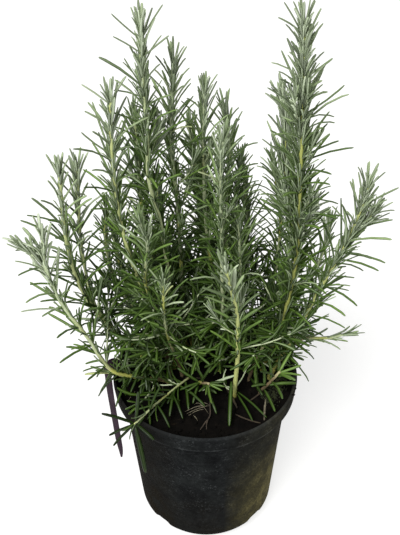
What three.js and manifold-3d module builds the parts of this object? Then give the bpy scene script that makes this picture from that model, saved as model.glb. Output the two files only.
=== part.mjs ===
// A rosemary plant in a 15 cm nursery pot: leafy stems rooted in soil, with a plant label over the rim.
// Millimetres, +Z up. The origin is the centre of the pot's flat base, on the surface the pot stands on.
// The front of the pot faces -Y.

import * as THREE from 'three';
import { mergeVertices } from 'three/addons/utils/BufferGeometryUtils.js';
import Module from 'manifold-3d';

const wasm = await Module();
wasm.setup();

// Driving dimensions of the pot
const rimRadius = 75;
const potHeight = 150;
const potWall = 1.8;
const potBase = 2;
const rimLip = 3.1; // from the rim's outer edge to its inner face
const rimStep = 2; // thickness of the ledge under the rim
const skirtHeight = 15; // the band that stands out round the top
const wallTopRadius = 67.5; // the tapered wall, just under the skirt
const wallFootRadius = 57.2; // the tapered wall, where the rounded corner starts
const cornerHeight = 12.3;
const baseRadius = 48; // the flat base
const potSides = 40;
const clearance = 0.3; // between pieces that touch in the real plant
const joinTolerance = 0.01;

// Drainage notches: the lower corner of the pot is pressed in at four places, each with a slot at its foot
const notchCount = 4;
const notchWidth = 18;
const notchHeight = 16;
const notchReach = 44.5; // from the pot's axis to the flat back of a notch
const firstNotchAngle = 47; // degrees round from the front, towards +X
const slotWidth = 9;
const slotTop = 7.5;

// Soil
const soilLevel = 138.5;
const soilSectors = 30;
const soilBump = 1.1;
const footDepth = 20; // how far a stem goes down into its hole
const holeClearance = 0.4;

// Plant label, a plastic strip folded over the rim on the left
const labelWidth = 12;
const labelThickness = 0.8;
const labelTurn = 28; // degrees that its face is turned towards the front
const labelRimPoint = [-78.2, -5]; // the middle of the outer leg, level with the rim
const labelLowerEnd = 50; // height of its tip
const labelPointLength = 22; // the pointed lower end
const labelCrownRadius = 6.4; // the bend over the rim
const labelCrownHeight = 153;

// Stems and leaves
const ringSpacing = 30; // between the rings of points along a stem
const tipGirth = 2.1; // diameter of a stem at its tip
const leafPitch = 13.2; // between one pair of leaves and the next
const leafLength = 30;
const leafWidth = 2.7;
const leafDepth = 1.3;
const widestShare = 0.42; // how far along its length it is widest
const leafGap = 0.35; // kept free between the leaves of different stems

// The stems. foot is where a stem enters the soil, course is what its centre line passes through on the way
// to its tip, girth is its diameter at the foot, and bare is the share of its length that carries no leaves.
// A shoot grows out of its stem at a share of the stem's length.
const leafyStems = [
  {
    name: 'stem_tall_left', foot: [-17, 22], girth: 4.4, bare: 0.1,
    course: [[-25, 14, 214], [-31, 4, 294], [-37, -4, 333], [-36, -8, 374], [-37, -12, 416], [-36, -14, 444]],
    shoots: [{ from: 0.7, course: [[-33, -2, 354], [-30, 0, 367]] }],
  },
  {
    name: 'stem_second_left', foot: [-25, 14], girth: 4, bare: 0.1,
    course: [[-42, 8, 209], [-55, -4, 275], [-59, -12, 323], [-59, -18, 366], [-57, -22, 400]],
  },
  {
    name: 'stem_left_fork', foot: [-32, 25], girth: 4.6, bare: 0.12,
    course: [[-50, 17, 158], [-70, 6, 184], [-93, -4, 243], [-98, -8, 290], [-96, -13, 342]],
    shoots: [{ from: 0.2, course: [[-84, 18, 198], [-91, 14, 259], [-89, 10, 306], [-87, 8, 334]] }],
  },
  {
    name: 'stem_low_left', foot: [-31, -3], girth: 4.2, bare: 0.12,
    course: [
      [-54, -15, 158], [-72, -26, 176], [-87, -33, 217], [-103, -38, 258], [-108, -42, 294], [-107, -43, 312],
    ],
    shoots: [{ from: 0.84, course: [[-111, -43, 293], [-117, -45, 303]] }],
  },
  {
    name: 'stem_thin_left', foot: [-25, 36], girth: 3.2, bare: 0.14,
    course: [[-48, 43, 166], [-73, 50, 206], [-78, 54, 240], [-76, 56, 272]],
  },
  {
    name: 'stem_behind_left', foot: [-14, 38], girth: 3.8, bare: 0.1,
    course: [[-36, 43, 202], [-47, 42, 289], [-47, 40, 328], [-48, 38, 357]],
  },
  {
    name: 'stem_mid_left', foot: [-8, 29], girth: 4, bare: 0.1,
    course: [[-16, 25, 195], [-18, 18, 286], [-21, 14, 350], [-18, 8, 411]],
  },
  {
    name: 'stem_mid_small', foot: [-3, 47], girth: 3.4, bare: 0.1,
    course: [[5, 56, 190], [3, 60, 254], [-6, 62, 310], [-8, 62, 337]],
  },
  {
    name: 'stem_mid_tall', foot: [2, 36], girth: 4, bare: 0.1,
    course: [[7, 34, 207], [2, 32, 276], [1, 28, 338], [2, 26, 382]],
  },
  {
    name: 'stem_mid_right', foot: [13, 43], girth: 3.8, bare: 0.1,
    course: [[18, 44, 210], [18, 46, 285], [20, 46, 328], [17, 46, 359]],
  },
  {
    name: 'stem_front_tall', foot: [12, 10], girth: 4, bare: 0.1,
    course: [[14, 2, 202], [13, -6, 284], [12, -12, 336], [13, -16, 368]],
  },
  {
    name: 'stem_back_mid', foot: [22, 46], girth: 3.4, bare: 0.1,
    course: [[27, 59, 188], [25, 66, 260], [30, 70, 300]],
  },
  {
    name: 'stem_short_mid', foot: [28, 16], girth: 3.4, bare: 0.1,
    course: [[28, 10, 195], [27, 4, 260], [25, 0, 296]],
  },
  {
    name: 'stem_front_pale', foot: [23, -20], girth: 4.4, bare: 0.1,
    course: [[25, -27, 196], [23, -33, 240], [18, -39, 266], [15, -42, 283]],
  },
  {
    name: 'stem_front_short', foot: [-19, 6], girth: 3.4, bare: 0.1,
    course: [[-25, 2, 170], [-29, -10, 200], [-30, -19, 230], [-29, -28, 264]],
  },
  {
    name: 'stem_left_crook', foot: [-28, 7], girth: 3.4, bare: 0.1,
    course: [[-35, 1, 202], [-43, -14, 254], [-39, -23, 290], [-43, -29, 314]],
  },
  {
    name: 'stem_tall_right', foot: [48, 12], girth: 4.8, bare: 0.1,
    course: [[60, 2, 196], [67, -8, 265], [66, -14, 318], [64, -18, 368], [62, -22, 418], [60, -24, 447]],
    shoots: [
      { from: 0.48, course: [[57, -8, 318], [56, -4, 345], [56, 1, 368], [53, 4, 388]] },
      { from: 0.46, course: [[72, -14, 306], [74, -18, 318]] },
    ],
  },
  {
    name: 'stem_back_right', foot: [40, 38], girth: 3.6, bare: 0.1,
    course: [[57, 56, 189], [62, 62, 256], [55, 65, 305]],
  },
  {
    name: 'stem_right_arm', foot: [53, 2], girth: 4.2, bare: 0.1,
    course: [[75, 0, 198], [90, -6, 246], [103, -10, 284], [109, -13, 314], [111, -15, 331]],
    shoots: [{ from: 0.78, course: [[112, -12, 299], [117, -13, 308]] }],
  },
  {
    name: 'stem_low_right', foot: [58, 13], girth: 3, bare: 0.3,
    course: [[80, 19, 165], [102, 18, 167], [113, 16, 172]],
  },
  {
    name: 'stem_far_right', foot: [46, 34], girth: 3.4, bare: 0.34,
    course: [[62, 46, 166], [84, 60, 186], [100, 70, 216], [104, 74, 240]],
  },
  {
    name: 'stem_over_rim', foot: [-12, 1], girth: 2.6, bare: 0.4,
    course: [[-24, -20, 150], [-41, -46, 155.5], [-54, -64, 156]],
  },
  {
    name: 'stem_basal_front', foot: [-4, -6], girth: 2.6, bare: 0.3,
    course: [[-4, -16, 152], [3, -26, 160]],
  },
  {
    name: 'stem_basal_middle', foot: [36, -2], girth: 2.8, bare: 0.16,
    course: [[40, -8, 165], [46, -14, 190]],
  },
  {
    name: 'stem_basal_left', foot: [-41, 8], girth: 2.6, bare: 0.2,
    course: [[-47, 0, 155], [-50, -10, 176]],
  },
  {
    name: 'stem_basal_right', foot: [44, -16], girth: 2.6, bare: 0.2,
    course: [[49, -22, 154], [58, -26, 172]],
  },
  {
    name: 'stem_rear_1', foot: [-38, 44], girth: 3.4, bare: 0.14,
    course: [[-60, 62, 176], [-74, 78, 226], [-72, 86, 262]],
  },
  {
    name: 'stem_rear_2', foot: [-18, 54], girth: 3.4, bare: 0.14,
    course: [[-30, 76, 180], [-38, 90, 232], [-36, 96, 272]],
  },
  {
    name: 'stem_rear_3', foot: [3, 57], girth: 3.4, bare: 0.14,
    course: [[2, 80, 182], [0, 94, 236], [0, 98, 280]],
  },
  {
    name: 'stem_rear_4', foot: [19, 55], girth: 3.4, bare: 0.14,
    course: [[34, 78, 180], [38, 90, 230], [35, 95, 270]],
  },
  {
    name: 'stem_rear_5', foot: [32, 50], girth: 3.4, bare: 0.14,
    course: [[62, 66, 178], [74, 80, 222], [74, 84, 258]],
  },
];

// Colours and finishes
const materials = {
  pot: new THREE.MeshStandardMaterial({ color: 0x26282a, roughness: 0.7, metalness: 0 }),
  soil: new THREE.MeshStandardMaterial({ color: 0x1c1713, roughness: 1, metalness: 0 }),
  label: new THREE.MeshStandardMaterial({ color: 0x4a3b4c, roughness: 0.55, metalness: 0 }),
  leafyStem: new THREE.MeshStandardMaterial({ color: 0x4c6a3c, roughness: 0.65, metalness: 0 }),
};

const rad = THREE.MathUtils.degToRad;

// Repeatable scatter between 0 and 1, the same for the same pair of counts
function scatter(first, second) {
  const wave = Math.sin(first * 127.1 + second * 311.7) * 43758.5453;
  return wave - Math.floor(wave);
}

function spread(first, second, range) {
  return (scatter(first, second) * 2 - 1) * range;
}

// A closed geometry as a solid that can be joined and cut
function toSolid(geometry) {
  const bare = geometry.clone();
  bare.deleteAttribute('normal');
  bare.deleteAttribute('uv');
  const merged = mergeVertices(bare, 1e-4);
  return new wasm.Manifold(new wasm.Mesh({
    numProp: 3,
    vertProperties: new Float32Array(merged.attributes.position.array),
    triVerts: new Uint32Array(merged.index.array),
  }));
}

// Faces are corner numbers in order, three or four to a face
function solidFromFaces(points, faces) {
  const triangles = faces.flatMap((face, i) => {
    const split = [{ corners: face.slice(0, 3), faceNumber: i }];
    if (face.length === 4) {
      split.push({ corners: [face[0], face[2], face[3]], faceNumber: i });
    }
    return split;
  });
  return new wasm.Manifold(new wasm.Mesh({
    numProp: 3,
    vertProperties: new Float32Array(points.flatMap((point) => [point.x, point.y, point.z])),
    triVerts: new Uint32Array(triangles.flatMap(({ corners }) => corners)),
    faceID: new Uint32Array(triangles.map(({ faceNumber }) => faceNumber)),
    tolerance: joinTolerance,
  }));
}

function toMesh(name, solid, material) {
  const { vertProperties, triVerts } = solid.getMesh();
  const geometry = new THREE.BufferGeometry();
  geometry.setAttribute('position', new THREE.BufferAttribute(vertProperties, 3));
  geometry.setIndex(new THREE.BufferAttribute(triVerts, 1));
  geometry.computeVertexNormals();
  const mesh = new THREE.Mesh(geometry, material);
  mesh.name = name;
  return mesh;
}

// A profile of [radius, height] points turned round the vertical axis
function turned(profile, sides) {
  const points = profile.map(([radius, height]) => new THREE.Vector2(radius, height));
  const geometry = new THREE.LatheGeometry(points, sides);
  geometry.rotateX(Math.PI / 2);
  return geometry;
}

// A block for each notch, from its flat back outwards; extra makes it larger all round
function notchBlocks(extra) {
  const half = notchWidth / 2 + extra;
  const top = notchHeight + extra;
  const arch = new THREE.Shape([
    new THREE.Vector2(-half, -1),
    new THREE.Vector2(half, -1),
    new THREE.Vector2(half, top - 6),
    new THREE.Vector2(half - 4, top),
    new THREE.Vector2(-half + 4, top),
    new THREE.Vector2(-half, top - 6),
  ]);
  return blocksRound(arch, notchReach - extra, 20);
}

// The slots that let water out through the backs of the notches
function drainSlots() {
  const half = slotWidth / 2;
  const slot = new THREE.Shape([
    new THREE.Vector2(-half, potBase + 0.4),
    new THREE.Vector2(half, potBase + 0.4),
    new THREE.Vector2(half - 1.2, slotTop),
    new THREE.Vector2(-half + 1.2, slotTop),
  ]);
  return blocksRound(slot, notchReach - potWall - 0.5, potWall + 1);
}

// The same shape at each notch's place, facing outwards, from a distance off the axis and for a depth
function blocksRound(shape, reach, depth) {
  const blocks = [];
  for (let i = 0; i < notchCount; i += 1) {
    const block = new THREE.ExtrudeGeometry(shape, { depth, bevelEnabled: false });
    block.rotateX(Math.PI / 2);
    block.translate(0, -reach, 0);
    block.rotateZ(rad(firstNotchAngle + (i * 360) / notchCount));
    blocks.push(toSolid(block));
  }
  return wasm.Manifold.union(blocks);
}

// Pot: one thin moulded shell, open at the top
function potSolid() {
  const skirtFoot = potHeight - skirtHeight;
  const innerStep = skirtFoot + rimStep;
  const innerRim = rimRadius - rimLip;
  const body = toSolid(turned([
    [0, 0],
    [baseRadius, 0],
    [50.4, 2.2],
    [53.8, 6.8],
    [wallFootRadius, cornerHeight],
    [wallTopRadius, skirtFoot],
    [rimRadius - 1.4, skirtFoot],
    [rimRadius, potHeight - 2.6],
    [rimRadius - 0.6, potHeight - 0.7],
    [rimRadius - 1.8, potHeight],
    [0, potHeight],
  ], potSides));
  const hollow = toSolid(turned([
    [0, potBase],
    [baseRadius - 1.4, potBase],
    [51.6, 6.9],
    [wallFootRadius - potWall, cornerHeight],
    [wallTopRadius - potWall, innerStep],
    [innerRim - 0.7, innerStep],
    [innerRim, potHeight - 1.6],
    [innerRim + 2, potHeight + 1],
    [0, potHeight + 1],
  ], potSides));
  const lined = hollow.subtract(notchBlocks(potWall));
  return body.subtract(notchBlocks(0)).subtract(lined).subtract(drainSlots());
}

// Height of the soil's uneven surface
function soilHeight(x, y) {
  const waves = Math.sin(x * 0.17 + 1.3) * Math.cos(y * 0.21 - 0.4) + 0.6 * Math.sin(x * 0.33 - y * 0.29);
  const edge = 1 - Math.hypot(x, y) / rimRadius;
  return soilLevel + 1.5 * edge + soilBump * waves * Math.min(1, edge * 5);
}

// The label's folded strip, as the points of its middle line: distance inwards from the outer leg, and height
function labelLine() {
  const crown = [];
  for (let angle = 180; angle >= 0; angle -= 30) {
    const along = labelCrownRadius * (1 + Math.cos(rad(angle)));
    crown.push([along, labelCrownHeight + labelCrownRadius * Math.sin(rad(angle))]);
  }
  return [[4.6, labelLowerEnd], [0.4, 128], ...crown, [14, 148], [19.5, 137.5], [22, 121]];
}

// The strip with extra room all round it: zero for the label itself, more for the slot that it stands in
function labelStrip(extra) {
  const line = labelLine();
  const half = labelThickness / 2 + extra;
  const left = [];
  const right = [];
  line.forEach(([along, height], i) => {
    const [beforeAlong, beforeHeight] = line[Math.max(i - 1, 0)];
    const [afterAlong, afterHeight] = line[Math.min(i + 1, line.length - 1)];
    const direction = new THREE.Vector2(afterAlong - beforeAlong, afterHeight - beforeHeight).normalize();
    const atEnd = i === line.length - 1 ? extra : 0;
    const middle = new THREE.Vector2(along, height).addScaledVector(direction, atEnd);
    left.push(new THREE.Vector2(middle.x - direction.y * half, middle.y + direction.x * half));
    right.push(new THREE.Vector2(middle.x + direction.y * half, middle.y - direction.x * half));
  });
  const outline = new THREE.Shape([...left, ...right.reverse()]);
  const width = labelWidth + 2 * extra;
  const geometry = new THREE.ExtrudeGeometry(outline, { depth: width, bevelEnabled: false });
  geometry.rotateX(Math.PI / 2);
  geometry.translate(0, width / 2, 0);
  return toSolid(geometry);
}

function placeLabel(solid) {
  const matrix = new THREE.Matrix4().makeRotationZ(rad(labelTurn));
  matrix.setPosition(labelRimPoint[0], labelRimPoint[1], 0);
  return solid.transform(matrix.elements);
}

// The label with its lower end cut to a blunt point
function labelSolid() {
  const beyond = 5;
  const halfPoint = 1;
  const corners = [-1, 1].map((side) => {
    const wedge = new THREE.Shape([
      new THREE.Vector2(side * halfPoint, labelLowerEnd - beyond),
      new THREE.Vector2(side * (labelWidth / 2 + beyond), labelLowerEnd - beyond),
      new THREE.Vector2(side * (labelWidth / 2 + beyond), labelLowerEnd + labelPointLength),
      new THREE.Vector2(side * (labelWidth / 2), labelLowerEnd + labelPointLength),
      new THREE.Vector2(side * halfPoint, labelLowerEnd),
    ]);
    const geometry = new THREE.ExtrudeGeometry(wedge, { depth: 20, bevelEnabled: false });
    geometry.rotateX(Math.PI / 2);
    geometry.rotateZ(Math.PI / 2);
    geometry.translate(-8, 0, 0);
    return toSolid(geometry);
  });
  return placeLabel(labelStrip(0).subtract(wasm.Manifold.union(corners)));
}

// A square hole for a stem's foot, straight down
function footHole({ foot, girth }, index) {
  const radius = girth / 2 + holeClearance;
  const hole = new THREE.CylinderGeometry(radius, radius, footDepth * 2, 4);
  hole.rotateX(Math.PI / 2);
  hole.rotateZ(footTurn(index) + Math.PI / 4);
  hole.translate(foot[0], foot[1], soilLevel + 1.5);
  return toSolid(hole);
}

// Soil: fills the pot up to a finger's width under the rim, with a hole for each stem and the label's slot
function soilSolid() {
  const lowerStep = potHeight - skirtHeight + rimStep + clearance;
  const upperRadius = rimRadius - rimLip - 0.9 - clearance;
  const wallGap = potWall + clearance + 0.15;
  const rings = [0.98, 0.76, 0.5, 0.24].map((share) => [upperRadius * share, soilLevel]);
  const geometry = turned([
    [0, potBase + clearance],
    [baseRadius - 2, potBase + clearance],
    [50.9, 7.1],
    [wallFootRadius - wallGap, cornerHeight + 0.4],
    [wallTopRadius - wallGap, lowerStep],
    [upperRadius, lowerStep],
    ...rings,
    [0, soilLevel],
  ], soilSectors);
  const position = geometry.attributes.position;
  for (let i = 0; i < position.count; i += 1) {
    if (position.getZ(i) > lowerStep + 0.5) {
      position.setZ(i, soilHeight(position.getX(i), position.getY(i)));
    }
  }
  const holes = leafyStems.map(footHole);
  const taken = [...holes, placeLabel(labelStrip(0.4)), notchBlocks(potWall + clearance)];
  return toSolid(geometry).subtract(wasm.Manifold.union(taken));
}

// A stem's centre line as straight lengths between rings, its thickness and the turn of its square section
function stemPath(stem, index) {
  const [x, y] = stem.foot;
  const rooted = new THREE.Vector3(x, y, soilHeight(x, y) + 2.5);
  const buried = new THREE.Vector3(x, y, soilLevel - footDepth + 2);
  return { ...centreLine(rooted, stem.course), buried, girth: stem.girth, turn: footTurn(index) };
}

function shootPath(parent, shoot, index) {
  const start = pointAt(parent, shoot.from);
  const girth = girthAt(parent, shoot.from) * 0.8;
  return { ...centreLine(start, shoot.course), buried: null, girth, turn: index + 0.5 };
}

function centreLine(start, course) {
  const through = course.map((point) => new THREE.Vector3(...point));
  const curve = new THREE.CatmullRomCurve3([start, ...through], false, 'centripetal');
  const length = curve.getLength();
  return { centres: curve.getSpacedPoints(Math.max(2, Math.round(length / ringSpacing))), length };
}

function footTurn(index) {
  return index * 2.4;
}

function pointAt({ centres }, share) {
  const place = share * (centres.length - 1);
  const ring = Math.min(Math.floor(place), centres.length - 2);
  return centres[ring].clone().lerp(centres[ring + 1], place - ring);
}

function directionAt({ centres }, share) {
  const place = share * (centres.length - 1);
  const ring = Math.min(Math.floor(place), centres.length - 2);
  return centres[ring + 1].clone().sub(centres[ring]).normalize();
}

function girthAt({ girth }, share) {
  return girth + (tipGirth - girth) * share ** 0.8;
}

// Two directions square to a stem, turned round it: leaves grow along them, from the middles of its faces
function squareTo(along, turn) {
  const depthwise = new THREE.Vector3(0, 1, 0);
  const square = depthwise.addScaledVector(along, -depthwise.dot(along)).normalize();
  const first = square.applyAxisAngle(along, turn);
  return [first, new THREE.Vector3().crossVectors(along, first)];
}

// A stem is square in section, as young rosemary is
function stemSolid(path) {
  const last = path.centres.length - 1;
  const rings = path.centres.map((centre, i) => {
    const before = path.centres[Math.max(i - 1, 0)];
    const after = path.centres[Math.min(i + 1, last)];
    const upright = path.buried && i === 0;
    const along = upright ? new THREE.Vector3(0, 0, 1) : after.clone().sub(before).normalize();
    return { centre, along, radius: girthAt(path, i / last) / 2 };
  });
  if (path.buried) {
    rings.unshift({ ...rings[0], centre: path.buried });
  }
  const points = rings.flatMap(({ centre, along, radius }) => {
    const [first, second] = squareTo(along, path.turn + Math.PI / 4);
    return [[1, 0], [0, 1], [-1, 0], [0, -1]].map(([a, b]) => (
      centre.clone().addScaledVector(first, a * radius).addScaledVector(second, b * radius)
    ));
  });
  const faces = [[0, 3, 2, 1]];
  for (let ring = 0; ring < rings.length - 1; ring += 1) {
    for (let side = 0; side < 4; side += 1) {
      const here = ring * 4 + side;
      const next = ring * 4 + ((side + 1) % 4);
      faces.push([here, next, next + 4, here + 4]);
    }
  }
  const end = (rings.length - 1) * 4;
  faces.push([end, end + 1, end + 2, end + 3]);
  return solidFromFaces(points, faces);
}

// A leaf's three points on its middle line: sunk in the stem, at its widest and at its tip
function leafLine(path, share, azimuth, sway, tilt, length) {
  const heart = pointAt(path, share);
  const along = directionAt(path, share);
  const [first] = squareTo(along, path.turn + azimuth);
  const outwards = first.applyAxisAngle(along, sway);
  const direction = outwards.clone().multiplyScalar(Math.sin(tilt)).addScaledVector(along, Math.cos(tilt));
  const root = heart.addScaledVector(direction, -0.3 * girthAt(path, share));
  const middle = root.clone().addScaledVector(direction, length * widestShare);
  const arch = 0.22 - 0.5 * Math.max(0, tilt - 0.8);
  const bent = direction.clone().addScaledVector(along, arch).normalize();
  const tip = middle.clone().addScaledVector(bent, length * (1 - widestShare));
  return { root, middle, tip, across: new THREE.Vector3().crossVectors(along, outwards).normalize() };
}

// A leaf: a slim three-sided blade, flat on top and keeled below
function leafSolid({ root, middle, tip, across }) {
  const lengthwise = tip.clone().sub(root).normalize();
  const upper = new THREE.Vector3().crossVectors(lengthwise, across).normalize();
  const corner = (wide, deep) => middle.clone()
    .addScaledVector(across, wide * leafWidth)
    .addScaledVector(upper, deep * leafDepth);
  const points = [root, corner(0.5, 0.3), corner(-0.5, 0.3), corner(0, -0.7), tip];
  return solidFromFaces(points, [[0, 2, 1], [0, 3, 2], [0, 1, 3], [1, 2, 4], [2, 3, 4], [3, 1, 4]]);
}

// Room taken up so far, as rods that belong to a stem or to the label
const takenRoom = [];

function takeRoom(owner, points, radius) {
  for (let i = 0; i < points.length - 1; i += 1) {
    takenRoom.push({ owner, from: points[i], to: points[i + 1], radius });
  }
}

// Shortest distance between two straight pieces
function rodDistance(a, b, c, d) {
  const u = b.clone().sub(a);
  const v = d.clone().sub(c);
  const w = a.clone().sub(c);
  const uu = u.dot(u);
  const vv = v.dot(v);
  const uv = u.dot(v);
  const uw = u.dot(w);
  const vw = v.dot(w);
  const spanned = uu * vv - uv * uv;
  const clamp = THREE.MathUtils.clamp;
  let s = spanned > 1e-9 ? clamp((uv * vw - vv * uw) / spanned, 0, 1) : 0;
  const t = clamp((uv * s + vw) / vv, 0, 1);
  s = clamp((uv * t - uw) / uu, 0, 1);
  return w.addScaledVector(u, s).addScaledVector(v, -t).length();
}

function clearOfOthers(owner, line) {
  const halfLeaf = leafWidth / 2;
  return [[line.root, line.middle], [line.middle, line.tip]].every(([from, to]) => takenRoom.every((rod) => (
    rod.owner === owner || rodDistance(from, to, rod.from, rod.to) > halfLeaf + rod.radius + leafGap
  )));
}

// True where a leaf stays off the soil and the pot's rim
function clearOfPot(line) {
  for (let share = 0; share <= 1; share += 0.1) {
    const point = line.middle.clone().lerp(share < 0.5 ? line.root : line.tip, Math.abs(share - 0.5) * 2);
    const radius = Math.hypot(point.x, point.y);
    const margin = leafWidth / 2 + leafGap;
    const overSoil = radius < rimRadius - 5 - margin;
    const floor = overSoil ? soilHeight(point.x, point.y) + 1 : potHeight;
    if (point.z < floor + margin && radius < rimRadius + margin) return false;
  }
  return true;
}

// Leaves of one stem or shoot: pairs that turn a quarter round from one to the next, and a tuft at the tip
function leafLines(owner, seed, path, bare) {
  const lines = [];
  const tryLeaf = (share, azimuth, tilt, reach) => {
    for (const sway of [0, 0.35, -0.35, 0.7, -0.7]) {
      const swayed = sway + spread(seed, share * 90 + azimuth, 0.24);
      const line = leafLine(path, share, azimuth, swayed, tilt, reach);
      if (clearOfOthers(owner, line) && clearOfPot(line)) {
        lines.push(line);
        takeRoom(owner, [line.root, line.middle, line.tip], leafWidth / 2);
        return;
      }
    }
  };
  const leafyLength = path.length * (1 - bare);
  const pairs = Math.round(leafyLength / leafPitch);
  for (let pair = 0; pair < pairs; pair += 1) {
    const rise = (pair + 0.5) / pairs;
    const fullness = Math.min(1, 0.72 + rise * 1.1) * Math.min(1, 0.66 + (1 - rise) * 1.6);
    for (let twin = 0; twin < 2; twin += 1) {
      const draw = pair * 2 + twin;
      const azimuth = pair * (Math.PI / 2) + twin * Math.PI;
      const tilt = 1.25 - 0.55 * rise + spread(draw, seed + 3, 0.16);
      const reach = leafLength * fullness * (1 + spread(draw, seed + 7, 0.12));
      tryLeaf(bare + (1 - bare) * rise, azimuth, tilt, reach);
    }
  }
  const tuft = [[0, 0.3], [Math.PI, 0.45]];
  tuft.forEach(([azimuth, tilt]) => {
    tryLeaf(1 - 1.5 / path.length, azimuth + pairs * (Math.PI / 2), tilt, leafLength * 0.66);
  });
  return lines;
}

function largestBody(solid) {
  return solid.decompose().sort((a, b) => b.volume() - a.volume())[0];
}

const plant = new THREE.Group();
plant.add(toMesh('pot', potSolid(), materials.pot));
plant.add(toMesh('potting_soil', soilSolid(), materials.soil));
plant.add(toMesh('plant_label', labelSolid(), materials.label));

const labelTurned = new THREE.Vector3(Math.cos(rad(labelTurn)), Math.sin(rad(labelTurn)), 0);
const labelPoints = labelLine().map(([along, height]) => (
  new THREE.Vector3(labelRimPoint[0], labelRimPoint[1], height).addScaledVector(labelTurned, along)
));
takeRoom('plant_label', labelPoints, labelWidth / 2 + 0.5);

const stemPaths = leafyStems.map((stem, i) => {
  const main = stemPath(stem, i);
  const shoots = (stem.shoots ?? []).map((shoot, n) => shootPath(main, shoot, n));
  return [main, ...shoots];
});
leafyStems.forEach((stem, i) => {
  stemPaths[i].forEach((path) => takeRoom(stem.name, path.centres, path.girth / 2));
});
leafyStems.forEach((stem, i) => {
  const solids = stemPaths[i].flatMap((path, shoot) => {
    const lines = leafLines(stem.name, i * 2.4 + shoot * 0.9, path, shoot ? 0.12 : stem.bare);
    return [stemSolid(path), ...lines.map(leafSolid)];
  });
  const joined = largestBody(wasm.Manifold.union(solids)).simplify(0.02);
  plant.add(toMesh(stem.name, joined, materials.leafyStem));
});

export default plant;
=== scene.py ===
# Fine meshes and finishes for a potted rosemary plant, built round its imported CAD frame. Shapes are worked
# out in millimetres and turned to metres when a piece is made. +Z is up, the origin is the centre of the
# pot's base, and the plant's front faces -Y.

import math
import random
from functools import partial

import bpy
import numpy as np
from mathutils import Euler, Matrix, Vector, noise


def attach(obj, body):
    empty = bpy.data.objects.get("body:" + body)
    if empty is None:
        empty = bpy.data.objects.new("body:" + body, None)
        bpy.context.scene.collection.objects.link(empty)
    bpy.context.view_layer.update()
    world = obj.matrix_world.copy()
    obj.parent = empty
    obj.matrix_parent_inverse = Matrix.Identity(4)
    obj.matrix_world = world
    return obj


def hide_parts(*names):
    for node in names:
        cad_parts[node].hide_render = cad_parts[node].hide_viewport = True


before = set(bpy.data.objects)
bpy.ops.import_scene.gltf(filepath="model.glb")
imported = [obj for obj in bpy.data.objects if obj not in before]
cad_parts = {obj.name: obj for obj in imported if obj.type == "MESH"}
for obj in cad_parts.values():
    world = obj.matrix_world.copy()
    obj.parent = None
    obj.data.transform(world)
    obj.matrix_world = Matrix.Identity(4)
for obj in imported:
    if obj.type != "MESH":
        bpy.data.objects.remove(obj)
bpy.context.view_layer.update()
mm = 0.001
# What the finishes read off each point: how old it looks, how light it is, how far it faces down, and where
# it lies across its leaf
markNames = ("age", "tone", "under", "across")


# An sRGB hex colour as the linear colour that a shader takes
def toLinear(hexColour):
    parts = [int(hexColour[i:i + 2], 16) / 255 for i in (1, 3, 5)]
    return tuple(p / 12.92 if p <= 0.04045 else ((p + 0.055) / 1.055) ** 2.4 for p in parts) + (1.0,)


# Fills in a node. A key is an input's name or number or one of the node's own options, and a value that is
# another node's output is linked. size is a pattern's size in millimetres, range the four ends of a map
# range, and stops the colours of a ramp. Of a mix, input 0 is the share, 6 the colour below and 7 the
# colour laid over it.
def fillNode(node, settings):
    for key, value in settings.items():
        if isinstance(value, bpy.types.NodeSocket):
            node.id_data.links.new(value, node.inputs[key])
        elif key == "size":
            node.inputs["Scale"].default_value = 1000 / value
        elif key == "range":
            for socket, end in zip(node.inputs[1:5], value):
                socket.default_value = end
        elif key == "stops":
            elements = node.color_ramp.elements
            for i, (place, colour) in enumerate(value):
                stop = elements[i] if i < 2 else elements.new(place)
                stop.position = place
                stop.color = toLinear(colour)
        elif isinstance(key, int) or key in node.inputs:
            node.inputs[key].default_value = toLinear(value) if isinstance(value, str) else value
        else:
            setattr(node, key, value)


# Adds a node and gives back the output that is used
def addNode(tree, kind, settings, output=0):
    node = tree.nodes.new("ShaderNode" + kind)
    fillNode(node, settings)
    return node.outputs[output]


# A new material, what adds a node to it, its shader, and the place of a point on the piece
def newFinish(name):
    finish = bpy.data.materials.new(name)
    finish.use_nodes = True
    add = partial(addNode, finish.node_tree)
    return finish, add, finish.node_tree.nodes["Principled BSDF"], add("TexCoord", {}, "Object")


# A finish that is blotchy all over, from a piece's dictionary: colours are its stops, blotches and grain
# its patterns, relief its bump, and surface what its shader takes as it is
def blotchyFinish(name, look):
    finish, add, shader, place = newFinish(name)
    blotches = add("TexNoise", {**look["blotches"], "Vector": place})
    colour = add("ValToRGB", {0: blotches, "stops": look["colours"]})
    fillNode(shader, {**look["surface"], "Base Color": colour})
    if "relief" in look:
        height = add("TexNoise", {**look["grain"], "Vector": place}) if "grain" in look else blotches
        fillNode(shader, {"Normal": add("Bump", {**look["relief"], "Height": height})})
    return finish


# Points, faces and marks of one mesh, gathered part by part
def newBatch():
    return {"points": [], "faces": [], "finish": [], "marks": {name: [] for name in markNames}, "count": 0}


def addPart(batch, points, faces, finish=0, **marks):
    start = batch["count"]
    batch["points"].append(points)
    batch["faces"] += [[corner + start for corner in face] for face in faces]
    batch["finish"] += [finish] * len(faces)
    for name in markNames:
        batch["marks"][name].append(np.broadcast_to(marks.get(name, 0.0), len(points)))
    batch["count"] += len(points)


def newMesh(name, batch):
    mesh = bpy.data.meshes.new(name)
    mesh.from_pydata((np.concatenate(batch["points"]) * mm).tolist(), [], batch["faces"])
    return mesh


# A new object in the scene, with a mesh, a camera or a lamp as its data
def addObject(name, data):
    added = bpy.data.objects.new(name, data)
    bpy.context.scene.collection.objects.link(added)
    return added


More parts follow.
